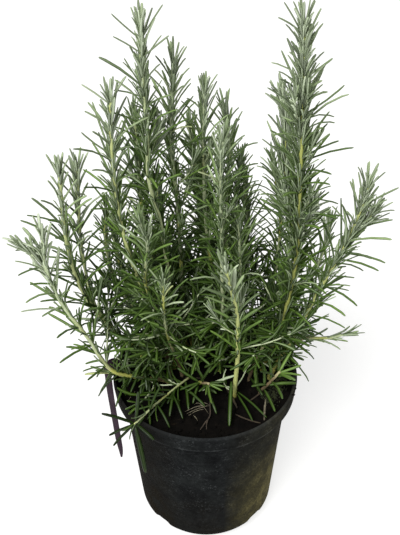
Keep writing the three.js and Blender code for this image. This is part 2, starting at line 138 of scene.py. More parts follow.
# A piece that rides on the pot, from a batch in millimetres
def makePiece(name, batch, finishes, standsFor=None):
    mesh = newMesh(name, batch)
    for finish in finishes:
        mesh.materials.append(finish)
    mesh.polygons.foreach_set("material_index", batch["finish"])
    mesh.polygons.foreach_set("use_smooth", [True] * len(mesh.polygons))
    for mark, values in batch["marks"].items():
        attribute = mesh.attributes.new(mark, "FLOAT", "POINT")
        attribute.data.foreach_set("value", np.concatenate(values).astype(np.float32))
    mesh.update()
    piece = addObject(name, mesh)
    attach(piece, "root")
    if standsFor:
        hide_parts(standsFor)
    return piece


# Faces of a tube of rings, each with the same number of points, closed at both ends
def tubeFaces(rings, sides):
    faces = []
    for ring in range(rings - 1):
        for side in range(sides):
            here, beside = ring * sides + side, ring * sides + (side + 1) % sides
            faces.append((here, here + sides, beside + sides, beside))
    faces.append(tuple(range(sides)))
    faces.append(tuple(reversed(range((rings - 1) * sides, rings * sides))))
    return faces


def unit(vector):
    return vector / np.linalg.norm(vector)


# Camera, where the photographer stood: in front of the plant and above it
cameraPlace = {"at": (-2.8, -513.5, 636.7), "tilt": 53.33, "roll": -0.844, "lens": 58.04, "sensor": 36}


def placeCamera():
    data = bpy.data.cameras.new("camera")
    data.lens = cameraPlace["lens"]
    data.sensor_width = cameraPlace["sensor"]
    data.clip_start = 0.01
    camera = addObject("camera", data)
    turned = Matrix.Rotation(math.radians(cameraPlace["tilt"]), 4, "X")
    edgeShade = Matrix.Rotation(math.radians(cameraPlace["roll"]), 4, "Z")
    camera.matrix_world = Matrix.Translation(Vector(cameraPlace["at"]) * mm) @ turned @ edgeShade
    bpy.context.scene.camera = camera


placeCamera()
print("camera placed")


# Pot: black polypropylene, injection moulded from recycled stock, scuffed and stained by a season outdoors
potForm = {
    "rimRadius": 75, "height": 150, "wall": 1.8, "base": 2, "lip": 3.1, "ledge": 2, "skirt": 15,
    "wallTop": 67.5, "wallFoot": 57.2, "cornerHeight": 12.3, "baseRadius": 48,
    "sectors": 180, "waver": 0.2,
    "notches": 4, "notchWidth": 18, "notchTop": 16, "firstNotch": 47, "notchReach": 44.5,
    "notchDepth": 20, "notchRound": 6.5, "slotWidth": 9, "slotTop": 7.5, "sharpFrom": 38,
    "plastic": "#0f1011", "paleMarks": "#1e2020", "dustAndHighlight": "#56595a", "earthAndShade": "#17130c", "algae": "#655f3e",
    "bandFoot": 136, "algaeTop": 108, "algaeFull": 50, "scuffSize": 15,
    # Millimetres, detail and roughness of the shading, the mottling, the patches, the specks and the grain
    "patterns": [(22, 5, 0.6), (4.5, 6, 0.7), (15.4, 7, 0.66), (1.76, 5, 0.75), (1.1, 4, 0.6)],
}


def potFinish():
    finish, add, shader, place = newFinish("recycledPolypropylene")
    x, z = [add("SeparateXYZ", {0: place}, axis) for axis in "XZ"]
    broad, fine, patchy, specks, grain = [
        add("TexNoise", {"size": size, "Detail": detail, "Roughness": rough, "Vector": place})
        for size, detail, rough in potForm["patterns"]]
    # The plastic is near black, greyer in broad patches where it has been handled, and finely mottled
    plastic = add("ValToRGB", {"stops": [(0.36, potForm["plastic"]), (0.68, potForm["paleMarks"])], 0: broad})
    fineValue = add("MapRange", {"range": (0.35, 0.65, 0.72, 1.32), 0: fine})
    mottled = add("HueSaturation", {"Value": fineValue, "Color": plastic})
    patches = add("MapRange", {"range": (0.44, 0.64, 0.02, 1), 0: patchy})
    # Scuffs run round the pot: the pattern is squeezed in height
    squeezed = add("Mapping", {"Scale": (1, 1, 7), "Vector": place})
    scuffs = add("TexNoise", {
        "size": potForm["scuffSize"], "Detail": 8, "Roughness": 0.72, "Vector": squeezed})
    scuffed = add("MapRange", {"range": (0.56, 0.74, 0, 0.14), 0: scuffs})
    # Specks of dried mud and lime lie in patches. The dust fades out towards the left, which is painted shade
    # on the left side
    speckled = add("MapRange", {"range": (0.54, 0.72, 0, 0.75), 0: specks})
    clustered = add("Math", {"operation": "MULTIPLY", 0: speckled, 1: patches})
    dusty = add("Math", {"operation": "MAXIMUM", 0: scuffed, 1: clustered})
    shadeLeftFade = add("MapRange", {"range": (-60 * mm, -28 * mm, 0.1, 1), 0: x})
    dustAndShadeLeft = add("Math", {"operation": "MULTIPLY", 0: dusty, 1: shadeLeftFade})
    # The lip is painted pale along the rim's top edge as a painted highlight, and so, here and there, is the
    # lower edge of the band, a broken painted highlight line
    lip = add("MapRange", {"range": (147.5 * mm, 149.6 * mm, 0, 0.1), 0: z})
    fromEdge = add("Math", {"operation": "SUBTRACT", 1: potForm["bandFoot"] * mm, 0: z})
    offEdge = add("Math", {"operation": "ABSOLUTE", 0: fromEdge})
    edge = add("MapRange", {"range": (0.3 * mm, 1.3 * mm, 0.3, 0), 0: offEdge})
    edgeHighlight = add("Math", {"operation": "MULTIPLY", 0: edge, 1: patches})
    paleMarks = add("Math", {"operation": "MAXIMUM", 0: lip, 1: edgeHighlight})
    # Earth stains the foot, the same earth colour darkens the left side as painted shade, and a grainy film
    # of algae covers the right-hand side low down
    foot = add("MapRange", {"range": (80 * mm, 10 * mm, 0, 0.7), 0: z})
    left = add("MapRange", {"range": (-22 * mm, -60 * mm, 0, 1), 0: x})
    stainAndShade = add("Math", {"operation": "ADD", 0: foot, 1: left})
    cloudy = add("MapRange", {"range": (0, 1, 0.42, 1), 0: patches})
    earthAndShadeShare = add("Math", {"operation": "MULTIPLY", "use_clamp": True, 0: stainAndShade, 1: cloudy})
    right = add("MapRange", {"range": (14 * mm, 54 * mm, 0, 1), 0: x})
    low = add("MapRange", {"range": (potForm["algaeTop"] * mm, potForm["algaeFull"] * mm, 0.18, 1.25), 0: z})
    damp = add("Math", {"operation": "MULTIPLY", 0: right, 1: low})
    grainy = add("MapRange", {"range": (0.4, 0.62, 0.5, 1.25), 0: specks})
    spread = add("Math", {"operation": "MULTIPLY", 0: damp, 1: cloudy})
    algaeShare = add("Math", {"operation": "MULTIPLY", "use_clamp": True, 0: spread, 1: grainy})
    # Laid over the plastic: dust with painted shade on the left, painted highlights in the dust colour, the
    # earth stain with painted shade on the left, and algae
    surface = mottled
    for share, overlay in ((dustAndShadeLeft, "dustAndHighlight"), (paleMarks, "dustAndHighlight"), (earthAndShadeShare, "earthAndShade"), (algaeShare, "algae")):
        surface = add("Mix", {"data_type": "RGBA", 0: share, 6: surface, 7: potForm[overlay]}, 2)
    dull = add("MapRange", {"range": (0.3, 0.75, 0.75, 0.92), 0: broad})
    dents = add("Bump", {"Strength": 0.35, "Distance": 1.2 * mm, "Height": patchy})
    bump = add("Bump", {"Strength": 0.4, "Distance": 0.15 * mm, "Height": grain, "Normal": dents})
    fillNode(shader, {"IOR": 1.49, "Specular IOR Level": 0.015, "Base Color": surface, "Roughness": dull,
                      "Normal": bump})
    return finish


# An outline with each corner rounded by its own radius
def roundedOutline(corners):
    outline = []
    for i, (x, y, radius) in enumerate(corners):
        here = np.array([x, y], float)
        if radius == 0 or i in (0, len(corners) - 1):
            outline.append(here)
            continue
        before = unit(np.array(corners[i - 1][:2]) - here)
        after = unit(np.array(corners[i + 1][:2]) - here)
        steps = 5 if radius > 1 else 3
        for step in range(steps + 1):
            share = step / steps
            start, end = here + before * radius, here + after * radius
            outline.append(start * (1 - share) ** 2 + 2 * here * share * (1 - share) + end * share ** 2)
    return outline


# A closed solid turned round the upright axis; its outline starts and ends on the axis
def turnedPart(outline, sectors, waver=0.0):
    points, faces = [np.array([0.0, 0.0, outline[0][1]])], []
    inner = outline[1:-1]
    for radius, height in inner:
        for sector in range(sectors):
            angle = 2 * math.pi * sector / sectors
            share = height / potForm["height"]
            reach = radius + waver * share * math.sin(2 * angle + 0.7)
            reach += 0.4 * waver * share * math.sin(5 * angle)
            points.append(np.array([reach * math.sin(angle), -reach * math.cos(angle), height]))
    points.append(np.array([0.0, 0.0, outline[-1][1]]))
    last = len(points) - 1
    for sector in range(sectors):
        beside = (sector + 1) % sectors
        faces.append((0, 1 + beside, 1 + sector))
        top = 1 + (len(inner) - 1) * sectors
        faces.append((last, top + sector, top + beside))
        for ring in range(len(inner) - 1):
            here, after = 1 + ring * sectors + sector, 1 + ring * sectors + beside
            faces.append((here, after, after + sectors, here + sectors))
    return np.array(points), faces


# The outline of a notch, seen from outside; extra makes it larger all round
def notchOutline(extra):
    half, top = potForm["notchWidth"] / 2 + extra, potForm["notchTop"] + extra
    bend = potForm["notchRound"]
    corners = [(-half, -1, 0), (half, -1, 0), (half, top, bend), (-half, top, bend), (-half, -1, 0)]
    return roundedOutline(corners)[:-1]


# The same shape at each notch's place, facing outwards, from a distance off the axis and for a depth
def blocksRound(outline, reach, depth):
    batch = newBatch()
    for i in range(potForm["notches"]):
        angle = math.radians(potForm["firstNotch"] + i * 360 / potForm["notches"])
        outwards = np.array([math.sin(angle), -math.cos(angle), 0])
        sideways = np.array([math.cos(angle), math.sin(angle), 0])
        rings = [outwards * far + sideways * across + np.array([0, 0, up])
                 for far in (reach, reach + depth) for across, up in outline]
        addPart(batch, np.array(rings), [tuple(reversed(face)) for face in tubeFaces(2, len(outline))])
    return batch


# A form that is only used to shape a piece
def looseForm(batch):
    return addObject("shaping", newMesh("shaping", batch))


# Cuts one closed form out of another, and takes the cutter away
def cutOut(piece, cutter):
    cut = piece.modifiers.new("cut", "BOOLEAN")
    cut.operation, cut.solver, cut.object = "DIFFERENCE", "EXACT", cutter
    graph = bpy.context.evaluated_depsgraph_get()
    piece.data = bpy.data.meshes.new_from_object(piece.evaluated_get(graph), depsgraph=graph)
    piece.modifiers.clear()
    bpy.data.objects.remove(cutter)


# Smooth shading, but hard where two faces meet more sharply than this angle
def smoothCorners(mesh, angle):
    mesh.polygons.foreach_set("use_smooth", [True] * len(mesh.polygons))
    mesh.set_sharp_from_angle(angle=math.radians(angle))


# Corners of the outlines are a distance from the axis, a height and a rounding
def makePot():
    rim, height, skirtFoot = potForm["rimRadius"], potForm["height"], potForm["height"] - potForm["skirt"]
    innerRim, wall, ledge = rim - potForm["lip"], potForm["wall"], skirtFoot + potForm["ledge"]
    reach, depth = potForm["notchReach"], potForm["notchDepth"]
    body = newBatch()
    addPart(body, *turnedPart(roundedOutline([
        (0, 0, 0), (potForm["baseRadius"], 0, 1.2), (50.4, 2.2, 1.6), (53.8, 6.8, 2.4),
        (potForm["wallFoot"], potForm["cornerHeight"], 3), (potForm["wallTop"], skirtFoot, 0.8),
        (rim - 1.4, skirtFoot, 0.5), (rim, height - 2.6, 1), (rim - 0.6, height - 0.7, 0.5),
        (rim - 1.8, height, 0.7), (0, height, 0)]), potForm["sectors"], potForm["waver"]))
    hollow = newBatch()
    addPart(hollow, *turnedPart(roundedOutline([
        (0, potForm["base"], 0), (potForm["baseRadius"] - 1.4, potForm["base"], 1), (51.6, 6.9, 1.4),
        (potForm["wallFoot"] - wall, potForm["cornerHeight"], 2.6), (potForm["wallTop"] - wall, ledge, 0.5),
        (innerRim - 0.7, ledge, 0.6), (innerRim, height - 1.6, 0.9), (innerRim + 2, height + 1, 0),
        (0, height + 1, 0)]), potForm["sectors"], potForm["waver"]))
    lined = looseForm(hollow)
    cutOut(lined, looseForm(blocksRound(notchOutline(wall), reach - wall, depth)))
    pot = makePiece("pot_shell", body, [potFinish()], "pot")
    cutOut(pot, looseForm(blocksRound(notchOutline(0), reach, depth)))
    cutOut(pot, lined)
    half, low, top = potForm["slotWidth"] / 2, potForm["base"] + 0.4, potForm["slotTop"]
    slot = [(-half, low), (half, low), (half - 1.2, top), (-half + 1.2, top)]
    cutOut(pot, looseForm(blocksRound(slot, reach - wall - 0.5, wall + 1)))
    pot.data.name = "pot_shell"
    smoothCorners(pot.data, potForm["sharpFrom"])


makePot()
print("pot turned and its notches cut")


# Soil: peat compost, loose and fibrous, near black when damp and browner where a fibre has dried
soilForm = {
    "level": 138.5, "bump": 1.1, "topRadius": 70.9, "rings": 76, "sectors": 190,
    "lump": 1.5, "lumpSize": 7, "crumb": 0.7, "crumbSize": 2.4,
    "colours": [(0.35, "#050403"), (0.62, "#0d0a07"), (0.8, "#2c2318")],
    "blotches": {"size": 6.5, "Detail": 8, "Roughness": 0.7},
    "grain": {"size": 1.3, "Detail": 6, "Roughness": 0.75}, "relief": {"Strength": 0.9, "Distance": 0.8 * mm},
    "surface": {"Roughness": 0.95, "Specular IOR Level": 0.1},
}


# The same uneven surface as the CAD soil
def soilHeight(x, y):
    waves = math.sin(x * 0.17 + 1.3) * math.cos(y * 0.21 - 0.4) + 0.6 * math.sin(x * 0.33 - y * 0.29)
    edge = 1 - math.hypot(x, y) / potForm["rimRadius"]
    return soilForm["level"] + 1.5 * edge + soilForm["bump"] * waves * min(1, edge * 5)


# With the lumps and crumbs that the CAD leaves out
def groundHeight(x, y):
    lump = noise.noise(Vector((x, y, 0)) / soilForm["lumpSize"]) * soilForm["lump"]
    crumb = noise.noise(Vector((x, y, 40)) / soilForm["crumbSize"]) * soilForm["crumb"]
    return soilHeight(x, y) + lump + crumb


def makeSoil(finish):
    reach, sectors, rings = soilForm["topRadius"], soilForm["sectors"], soilForm["rings"]
    low = potForm["height"] - potForm["skirt"] + potForm["ledge"] + 0.3
    gap = potForm["wall"] + 0.45
    outline = [(0, 2.3), (46, 2.3), (50.9, 7.1), (potForm["wallFoot"] - gap, 12.7),
               (potForm["wallTop"] - gap, low), (reach, low)]
    topRings = [reach * (1 - step / rings) for step in range(rings)]
    outline += [(radius, 0) for radius in topRings] + [(0, 0)]
    points, faces = turnedPart(outline, sectors)
    firstTop = 1 + 5 * sectors
    for i in range(firstTop, len(points)):
        x, y, _ = points[i]
        points[i][2] = groundHeight(x, y)
    batch = newBatch()
    addPart(batch, points, faces)
    soil = makePiece("soil_block", batch, [finish], "potting_soil")
    extra = potForm["wall"] + 0.3
    clearance = blocksRound(notchOutline(extra), potForm["notchReach"] - extra, potForm["notchDepth"])
    cutOut(soil, looseForm(clearance))
    soil.data.name = "soil_block"


peatCompost = blotchyFinish("peatCompost", soilForm)
makeSoil(peatCompost)
print("soil filled in")


# Leaves: narrow, leathery, rolled under at the edges, green and faintly wrinkled above, felted below
leafForm = {
    "length": 29, "width": 1.8, "smallWidth": 1.45, "smallUpTo": 15,
    "young": "#a2b08b", "grown": "#5b7534", "old": "#2f460c",
    "felt": "#b9c3aa", "feltOld": "#7a8a64", "rib": "#a9b98a", "yellow": "#8f9440",
    "mottleSize": 5, "wrinkleSize": 0.9,
}
# Each section is across and up, and each outline along and wide, as shares of a leaf's own size
bladeSection = np.array([(-1, -0.12), (-0.5, 0.17), (0, 0.07), (0.5, 0.17), (1, -0.12), (0, -0.36)])
bladeOutline = np.array([
    (0, 0.42), (0.07, 0.68), (0.25, 0.96), (0.55, 1), (0.86, 0.92), (0.97, 0.64), (1, 0.28)])
smallSection = np.array([(-1, -0.08), (0, 0.18), (1, -0.08), (0, -0.34)])
smallOutline = np.array([(0, 0.4), (0.3, 0.96), (0.8, 0.88), (1, 0.25)])
bladeFaces = tubeFaces(len(bladeOutline), len(bladeSection))
smallFaces = tubeFaces(len(smallOutline), len(smallSection))


def leafFinish():
    finish, add, shader, place = newFinish("rosemaryLeaf")
    marks = {name: add("Attribute", {"attribute_name": name}, "Fac") for name in markNames}
    upper = add("ValToRGB", {0: marks["age"], "stops": [
        (0, leafForm["young"]), (0.4, leafForm["grown"]), (1, leafForm["old"])]})
    lower = add("ValToRGB", {"stops": [(0, leafForm["felt"]), (1, leafForm["feltOld"])], 0: marks["age"]})
    # The midrib shows as a paler line, clearest on a young leaf
    offMiddle = add("Math", {"operation": "ABSOLUTE", 0: marks["across"]})
    rib = add("MapRange", {"range": (0.05, 0.28, 0.42, 0), 0: offMiddle})
    fading = add("MapRange", {"range": (0.2, 1, 1, 0.4), 0: marks["age"]})
    ribShare = add("Math", {"operation": "MULTIPLY", 0: rib, 1: fading})
    # A leaf or two in each dozen keeps its pale down above too
    downy = add("MapRange", {"range": (0.84, 0.95, 0, 0.75), 0: marks["tone"]})
    downShare = add("Math", {"operation": "MULTIPLY", 0: downy, 1: fading})
    felted = add("MapRange", {"range": (0.45, 0.95, 0, 0.9), 0: marks["under"]})
    # A few leaves are yellowing
    ailing = add("MapRange", {"range": (0.985, 1, 0, 0.5), 0: marks["tone"]})
    surface = upper
    for share, over in ((ribShare, leafForm["rib"]), (downShare, leafForm["felt"]), (felted, lower),
                        (ailing, leafForm["yellow"])):
        surface = add("Mix", {"data_type": "RGBA", 0: share, 6: surface, 7: over}, 2)
    # Each leaf is a little lighter or darker than the next, and mottled along its length
    mottle = add("TexNoise", {"size": leafForm["mottleSize"], "Detail": 3, "Vector": place})
    mottled = add("MapRange", {"range": (0.3, 0.7, -0.09, 0.09), 0: mottle})
    lightness = add("MapRange", {"range": (-0.3, 1, 0.22, 1.5), 0: marks["tone"]})
    even = add("Math", {"operation": "ADD", 0: mottled, 1: lightness})
    # The edges roll under, and are painted darker than the middle, as painted shade in the rolled margins
    edgeShade = add("MapRange", {"range": (0.5, 1, 1, 0.5), 0: offMiddle})
    value = add("Math", {"operation": "MULTIPLY", 0: even, 1: edgeShade})
    hue = add("MapRange", {"range": (0, 1, 0.51, 0.497), 0: marks["tone"]})
    depth = add("MapRange", {"range": (0, 0.5, 0.9, 1.06), 0: marks["age"]})
    tinted = add("HueSaturation", {"Hue": hue, "Saturation": depth, "Value": value, "Color": surface})
    dull = add("MapRange", {"range": (0, 1, 0.42, 0.78), 0: marks["under"]})
    wrinkle = add("TexNoise", {"size": leafForm["wrinkleSize"], "Detail": 2, "Vector": place})
    bump = add("Bump", {"Strength": 0.3, "Distance": 0.12 * mm, "Height": wrinkle})
    fillNode(shader, {"IOR": 1.45, "Specular IOR Level": 0.28, "Base Color": tinted, "Roughness": dull,
                      "Normal": bump})
    return finish


# Stems: square and pale with fine down when young, yellower lower down, and barky at the foot
stemForm = {
    "tipGirth": 2.1, "tipShare": 0.8, "taper": 0.5, "shootShare": 0.8, "sides": 10, "ringStep": 3.6,
    "footDepth": 18, "footRise": 2.5, "squareness": 0.07, "swelling": 0.16, "swellReach": 2.2,
    "oldAge": 0.3, "ageing": 0.25, "thinGirth": 1.3, "thinAge": 0.06, "thinTone": 0.8,
    "young": "#b6c29d", "green": "#abb27a", "woody": "#a29a72", "bark": "#75664b", "bright": "#b3b654",
    "streakSize": 1.6, "lengthSize": 42,
}


def stemFinish():
    finish, add, shader, place = newFinish("rosemaryStem")
    marks = {name: add("Attribute", {"attribute_name": name}, "Fac") for name in markNames}
    drawn = add("Mapping", {"Scale": (1, 1, 0.16), "Vector": place})
    streak = add("TexNoise", {
        "size": stemForm["streakSize"], "Detail": 5, "Roughness": 0.65, "Vector": drawn})
    shift = add("MapRange", {"range": (0.25, 0.75, -0.12, 0.12), 0: streak})
    age = add("Math", {"operation": "ADD", 0: marks["age"], 1: shift})
    colour = add("ValToRGB", {0: age, "stops": [
        (0.05, stemForm["young"]), (0.45, stemForm["green"]), (0.78, stemForm["woody"]),
        (0.95, stemForm["bark"])]})
    # Some lengths are a bright yellow green, between the downy tip and the bark. On a stem the mark under
    # holds how much of it the whole stem has.
    broad = add("TexNoise", {"size": stemForm["lengthSize"], "Detail": 1, "Vector": place})
    bright = add("MapRange", {"range": (0.52, 0.6, 0, 0.8), 0: broad})
    midStem = add("MapRange", {"range": (0.08, 0.2, 0, 1), 0: marks["age"]})
    patchyBright = add("Math", {"operation": "MULTIPLY", 0: bright, 1: midStem})
    brightShare = add("Math", {"operation": "MAXIMUM", 0: patchyBright, 1: marks["under"]})
    brightened = add("Mix", {"data_type": "RGBA", 7: stemForm["bright"], 0: brightShare, 6: colour}, 2)
    value = add("MapRange", {"range": (0, 1, 0.8, 1.15), 0: marks["tone"]})
    tinted = add("HueSaturation", {"Value": value, "Color": brightened})
    bump = add("Bump", {"Strength": 0.5, "Distance": 0.25 * mm, "Height": streak})
    fillNode(shader, {"Roughness": 0.62, "IOR": 1.45, "Base Color": tinted, "Normal": bump})
    return finish


# A smooth line through points, evenly stepped, with the distance along it
def smoothCourse(through, step=2.0):
    points = [np.array(point, float) for point in through]
    ends = [2 * points[0] - points[1]] + points + [2 * points[-1] - points[-2]]
    line = []
    for i in range(len(points) - 1):
        before, start, end, after = ends[i:i + 4]
        gaps = [math.sqrt(np.linalg.norm(b - a)) for a, b in ((before, start), (start, end), (end, after))]
        leave = (start - before) / gaps[0] - (end - before) / (gaps[0] + gaps[1]) + (end - start) / gaps[1]
        arrive = (end - start) / gaps[1] - (after - start) / (gaps[1] + gaps[2]) + (after - end) / gaps[2]
        leave, arrive = leave * gaps[1], arrive * gaps[1]
        for t in np.linspace(0, 1, 25)[(1 if i else 0):]:
            line.append((2 * t**3 - 3 * t**2 + 1) * start + (t**3 - 2 * t**2 + t) * leave
                        + (3 * t**2 - 2 * t**3) * end + (t**3 - t**2) * arrive)
    line = np.array(line)
    reach = np.concatenate([[0], np.cumsum(np.linalg.norm(np.diff(line, axis=0), axis=1))])
    even = np.linspace(0, reach[-1], max(3, round(reach[-1] / step)))
    return {"points": np.stack([np.interp(even, reach, line[:, k]) for k in range(3)], 1),
            "reach": even, "length": reach[-1]}


def pointOn(course, distance):
    return np.array([np.interp(distance, course["reach"], course["points"][:, k]) for k in range(3)])


def directionOn(course, distance):
    ahead, behind = min(distance + 3, course["length"]), max(distance - 3, 0)
    return unit(pointOn(course, ahead) - pointOn(course, behind))


def girthOn(course, girth, distance):
    tip = min(stemForm["tipGirth"], girth * stemForm["tipShare"])
    return girth + (tip - girth) * (distance / course["length"]) ** stemForm["taper"]


# A direction square to a stem, turned round it
def squareTo(along, turn):
    square = np.array([0.0, 1.0, 0.0])
    square = unit(square - along * square.dot(along))
    return square * math.cos(turn) + np.cross(along, square) * math.sin(turn)


# Points of one leaf and of its middle line. bend curls it down, sway sideways, and twist turns the blade.
def bladePoints(root, along, face, length, width, bend, sway, twist, outline, section):
    shares = outline[:, 0]
    down, aside = bend * shares ** 1.4, sway * shares
    side = np.cross(face, along)
    ways = (np.outer(np.cos(down) * np.cos(aside), along) + np.outer(np.sin(aside), side)
            - np.outer(np.sin(down) * np.cos(aside), face))
    steps = np.diff(shares)[:, None] * (ways[1:] + ways[:-1]) / 2 * length
    line = root + np.concatenate([np.zeros((1, 3)), np.cumsum(steps, 0)])
    sides = np.cross(np.outer(np.cos(down), face) + np.outer(np.sin(down), along), ways)
    sides /= np.linalg.norm(sides, axis=1)[:, None]
    faces = np.cross(ways, sides)
    turn = (twist * shares)[:, None]
    sides, faces = sides * np.cos(turn) + faces * np.sin(turn), faces * np.cos(turn) - sides * np.sin(turn)
    spread = (outline[:, 1] * width / 2)[:, None, None] * section[:, 0][None, :, None]
    depth = (np.sqrt(outline[:, 1]) * width)[:, None, None] * section[:, 1][None, :, None]
    points = line[:, None, :] + sides[:, None, :] * spread + faces[:, None, :] * depth
    return points.reshape(-1, 3), line


# Where no leaf may be: down to a height above the soil, in the rim, or in the wall beside the soil
keepOff = {
    "soil": 0.8, "rimFrom": 70, "rimTo": 77.5, "rimTop": 152,
    "wallFrom": 60, "wallTo": 75, "wallTop": 137,
}


# True where a leaf's middle line stays off the soil and the pot
def isClear(line):
    radius, height = np.hypot(line[:, 0], line[:, 1]), line[:, 2]
    for (x, y, z), far in zip(line, radius):
        if far < keepOff["rimFrom"] and z < soilHeight(x, y) + keepOff["soil"]:
            return False
    inRim = (radius >= keepOff["rimFrom"]) & (radius < keepOff["rimTo"]) & (height < keepOff["rimTop"])
    inWall = (radius >= keepOff["wallFrom"]) & (radius < keepOff["wallTo"]) & (height < keepOff["wallTop"])
    return not (inRim | inWall).any()


# The marks of a leaf's points: how far each looks to the felted side, and where it lies across the blade
def bladeMarks(outline, section, edgeFelt):
    lower = np.where(section[:, 1] < -0.2, 1.0, np.where(section[:, 1] < 0, edgeFelt, 0.0))
    return {"under": np.tile(lower, len(outline)), "across": np.tile(section[:, 0], len(outline))}


# A leaf that lifts where it would touch the soil or the pot, and is left out if that isn't enough
def addLeaf(batch, root, along, face, length, width, bend, sway, twist, age, tone):
    small = length < leafForm["smallUpTo"]
    outline, section = (smallOutline, smallSection) if small else (bladeOutline, bladeSection)
    for lift in (0, 0.35, 0.7, 1.1):
        points, line = bladePoints(
            root, along, face, length, width, bend - lift, sway, twist, outline, section)
        if isClear(line):
            break
    else:
        return
    addPart(batch, points, smallFaces if small else bladeFaces, 0, age=age, tone=tone,
            **bladeMarks(outline, section, 0.4))


# A leaf between two given places, hung or held as the plant holds it
def addPlacedLeaf(batch, root, tip, width, bend, age, tone):
    root, tip = np.array(root, float), np.array(tip, float)
    length = np.linalg.norm(tip - root) * (1 + bend * bend / 12)
    along = unit(tip - root)
    face = unit(np.array([0, 0, 1.0]) - along * along[2]) if abs(along[2]) < 0.97 else np.array([0, -1.0, 0])
    cosine, sine = math.cos(bend * 0.42), math.sin(bend * 0.42)
    along, face = along * cosine + face * sine, face * cosine - along * sine
    points, _ = bladePoints(root, along, face, length, width, bend, 0, 0.25, bladeOutline, bladeSection)
    addPart(batch, points, bladeFaces, 0, age=age, tone=tone, **bladeMarks(bladeOutline, bladeSection, 0.0))


# Points round a line, on a circle or, with squareness, on a rounded square
def ringRound(centre, along, turn, radius, sides, squareness=0.0):
    first = squareTo(along, turn)
    second = np.cross(along, first)
    ring = []
    for side in range(sides):
        angle = -2 * math.pi * side / sides
        squared = 1 + squareness * math.cos(4 * angle)
        ring.append(centre + (first * math.cos(angle) + second * math.sin(angle)) * radius * squared)
    return ring


# A squarish stem, with a swelling where each pair of leaves stands. nodes are their distances from its
# foot, age gives the age at a distance, and bright is the share of yellow green.
def addStem(batch, course, girth, buried, turn, nodes, age, tone, bright=0.0):
    sides, swellReach = stemForm["sides"], stemForm["swellReach"]
    stops = np.linspace(0, course["length"], max(3, round(course["length"] / stemForm["ringStep"])))
    centres = [(pointOn(course, stop), directionOn(course, stop), stop) for stop in stops]
    if buried is not None:
        centres.insert(0, (buried, np.array([0.0, 0.0, 1.0]), 0))
    rings, ages = [], []
    for centre, along, stop in centres:
        off = min([abs(stop - node) for node in nodes], default=swellReach)
        swell = 1 + stemForm["swelling"] * max(0, 1 - off / swellReach)
        radius = girthOn(course, girth, stop) / 2 * swell
        rings += ringRound(centre, along, turn, radius, sides, stemForm["squareness"])
        ages += [age(stop)] * sides
    faces = tubeFaces(len(centres), sides)
    addPart(batch, np.array(rings), faces, 1, age=np.array(ages), tone=tone, under=bright)


# How leaves stand on the stems: close and upright at the tip, arching outwards, and drooping lower down.
# Each Spread is how much a leaf strays, in radians.
habit = {
    "tipPitch": 2.2, "pitch": 5.4, "closeFor": 120, "tipTilt": 0.1, "tilt": 0.5, "tiltOver": 42, "droop": 0.5,
    "tipSize": 0.5, "grownAt": 45, "lowAt": 230, "lowShrink": 0.14, "ageStep": 0.55,
    "tuftBroad": 1.12, "axilFrom": 6, "axilTip": 8, "axilGrowth": 8, "axilDeepAt": 150,
    "turnSpread": 0.2, "tiltSpread": 0.12, "swaySpread": 0.14, "twistSpread": 0.4,
    "shortest": 0.62, "longer": 0.62, "sprigFrom": 50, "sprigShare": 0.07, "sprigGirth": 1.4,
    "sprigReach": 88, "sprigBare": 0.12, "shootBare": 0.08, "turnStep": 2.4, "nearRoot": 0.3,
    "crownShare": 0.3, "crownHeight": 70,
}


# How a stem or shoot is dressed where its own entry says nothing else. spacing sets the pairs further
# apart, size and broad scale the leaves, loose makes them less regular, and hang lets them droop. tuft
# counts the leaves at the tip, darkest and lightest are the ends of their tones, and agedAt is how far from
# the tip they look old. axils and sprigs say whether a stem has them, and axilMore and axilSize make the
# axils fuller. leafless is the share of the stem without leaves, barkFor the length with bark and bright
# its share of yellow green.
plainDress = {
    "spacing": 1.0, "size": 1.0, "broad": 1.0, "loose": 1.0, "hang": 0.0, "tuft": 9,
    "darkest": 0.0, "lightest": 1.0, "agedAt": 190, "axils": True, "axilMore": 0, "axilSize": 1.0,
    "sprigs": True, "leafless": 0.03, "barkFor": 60, "bright": 0, "shoots": [],
}
highSprig = {**plainDress, "spacing": 1.3, "size": 0.5, "loose": 2.2, "axils": False, "sprigs": False}
# Near the crown the sprigs' leaves look older and take darker tones: partly their age, and partly painted
# shade under the foliage
crownSprig = {**plainDress, "fresh": -0.4, "spacing": 3.2, "size": 1.2, "broad": 1.35, "loose": 2.4,
              "hang": 0.35, "tuft": 3, "darkest": -0.1, "lightest": 0.75, "axils": False, "sprigs": False}


# One stem, as the CAD places it: its foot in the soil, its diameter there, how young its leaves look, with
# 1 for the palest, and what its middle line passes through. A shoot starts at a share of its stem's length.
def stem(name, foot, girth, fresh, *course, **dress):
    own = {"name": name, "foot": foot, "girth": girth, "fresh": fresh, "course": course}
    return {**plainDress, **dress, **own}


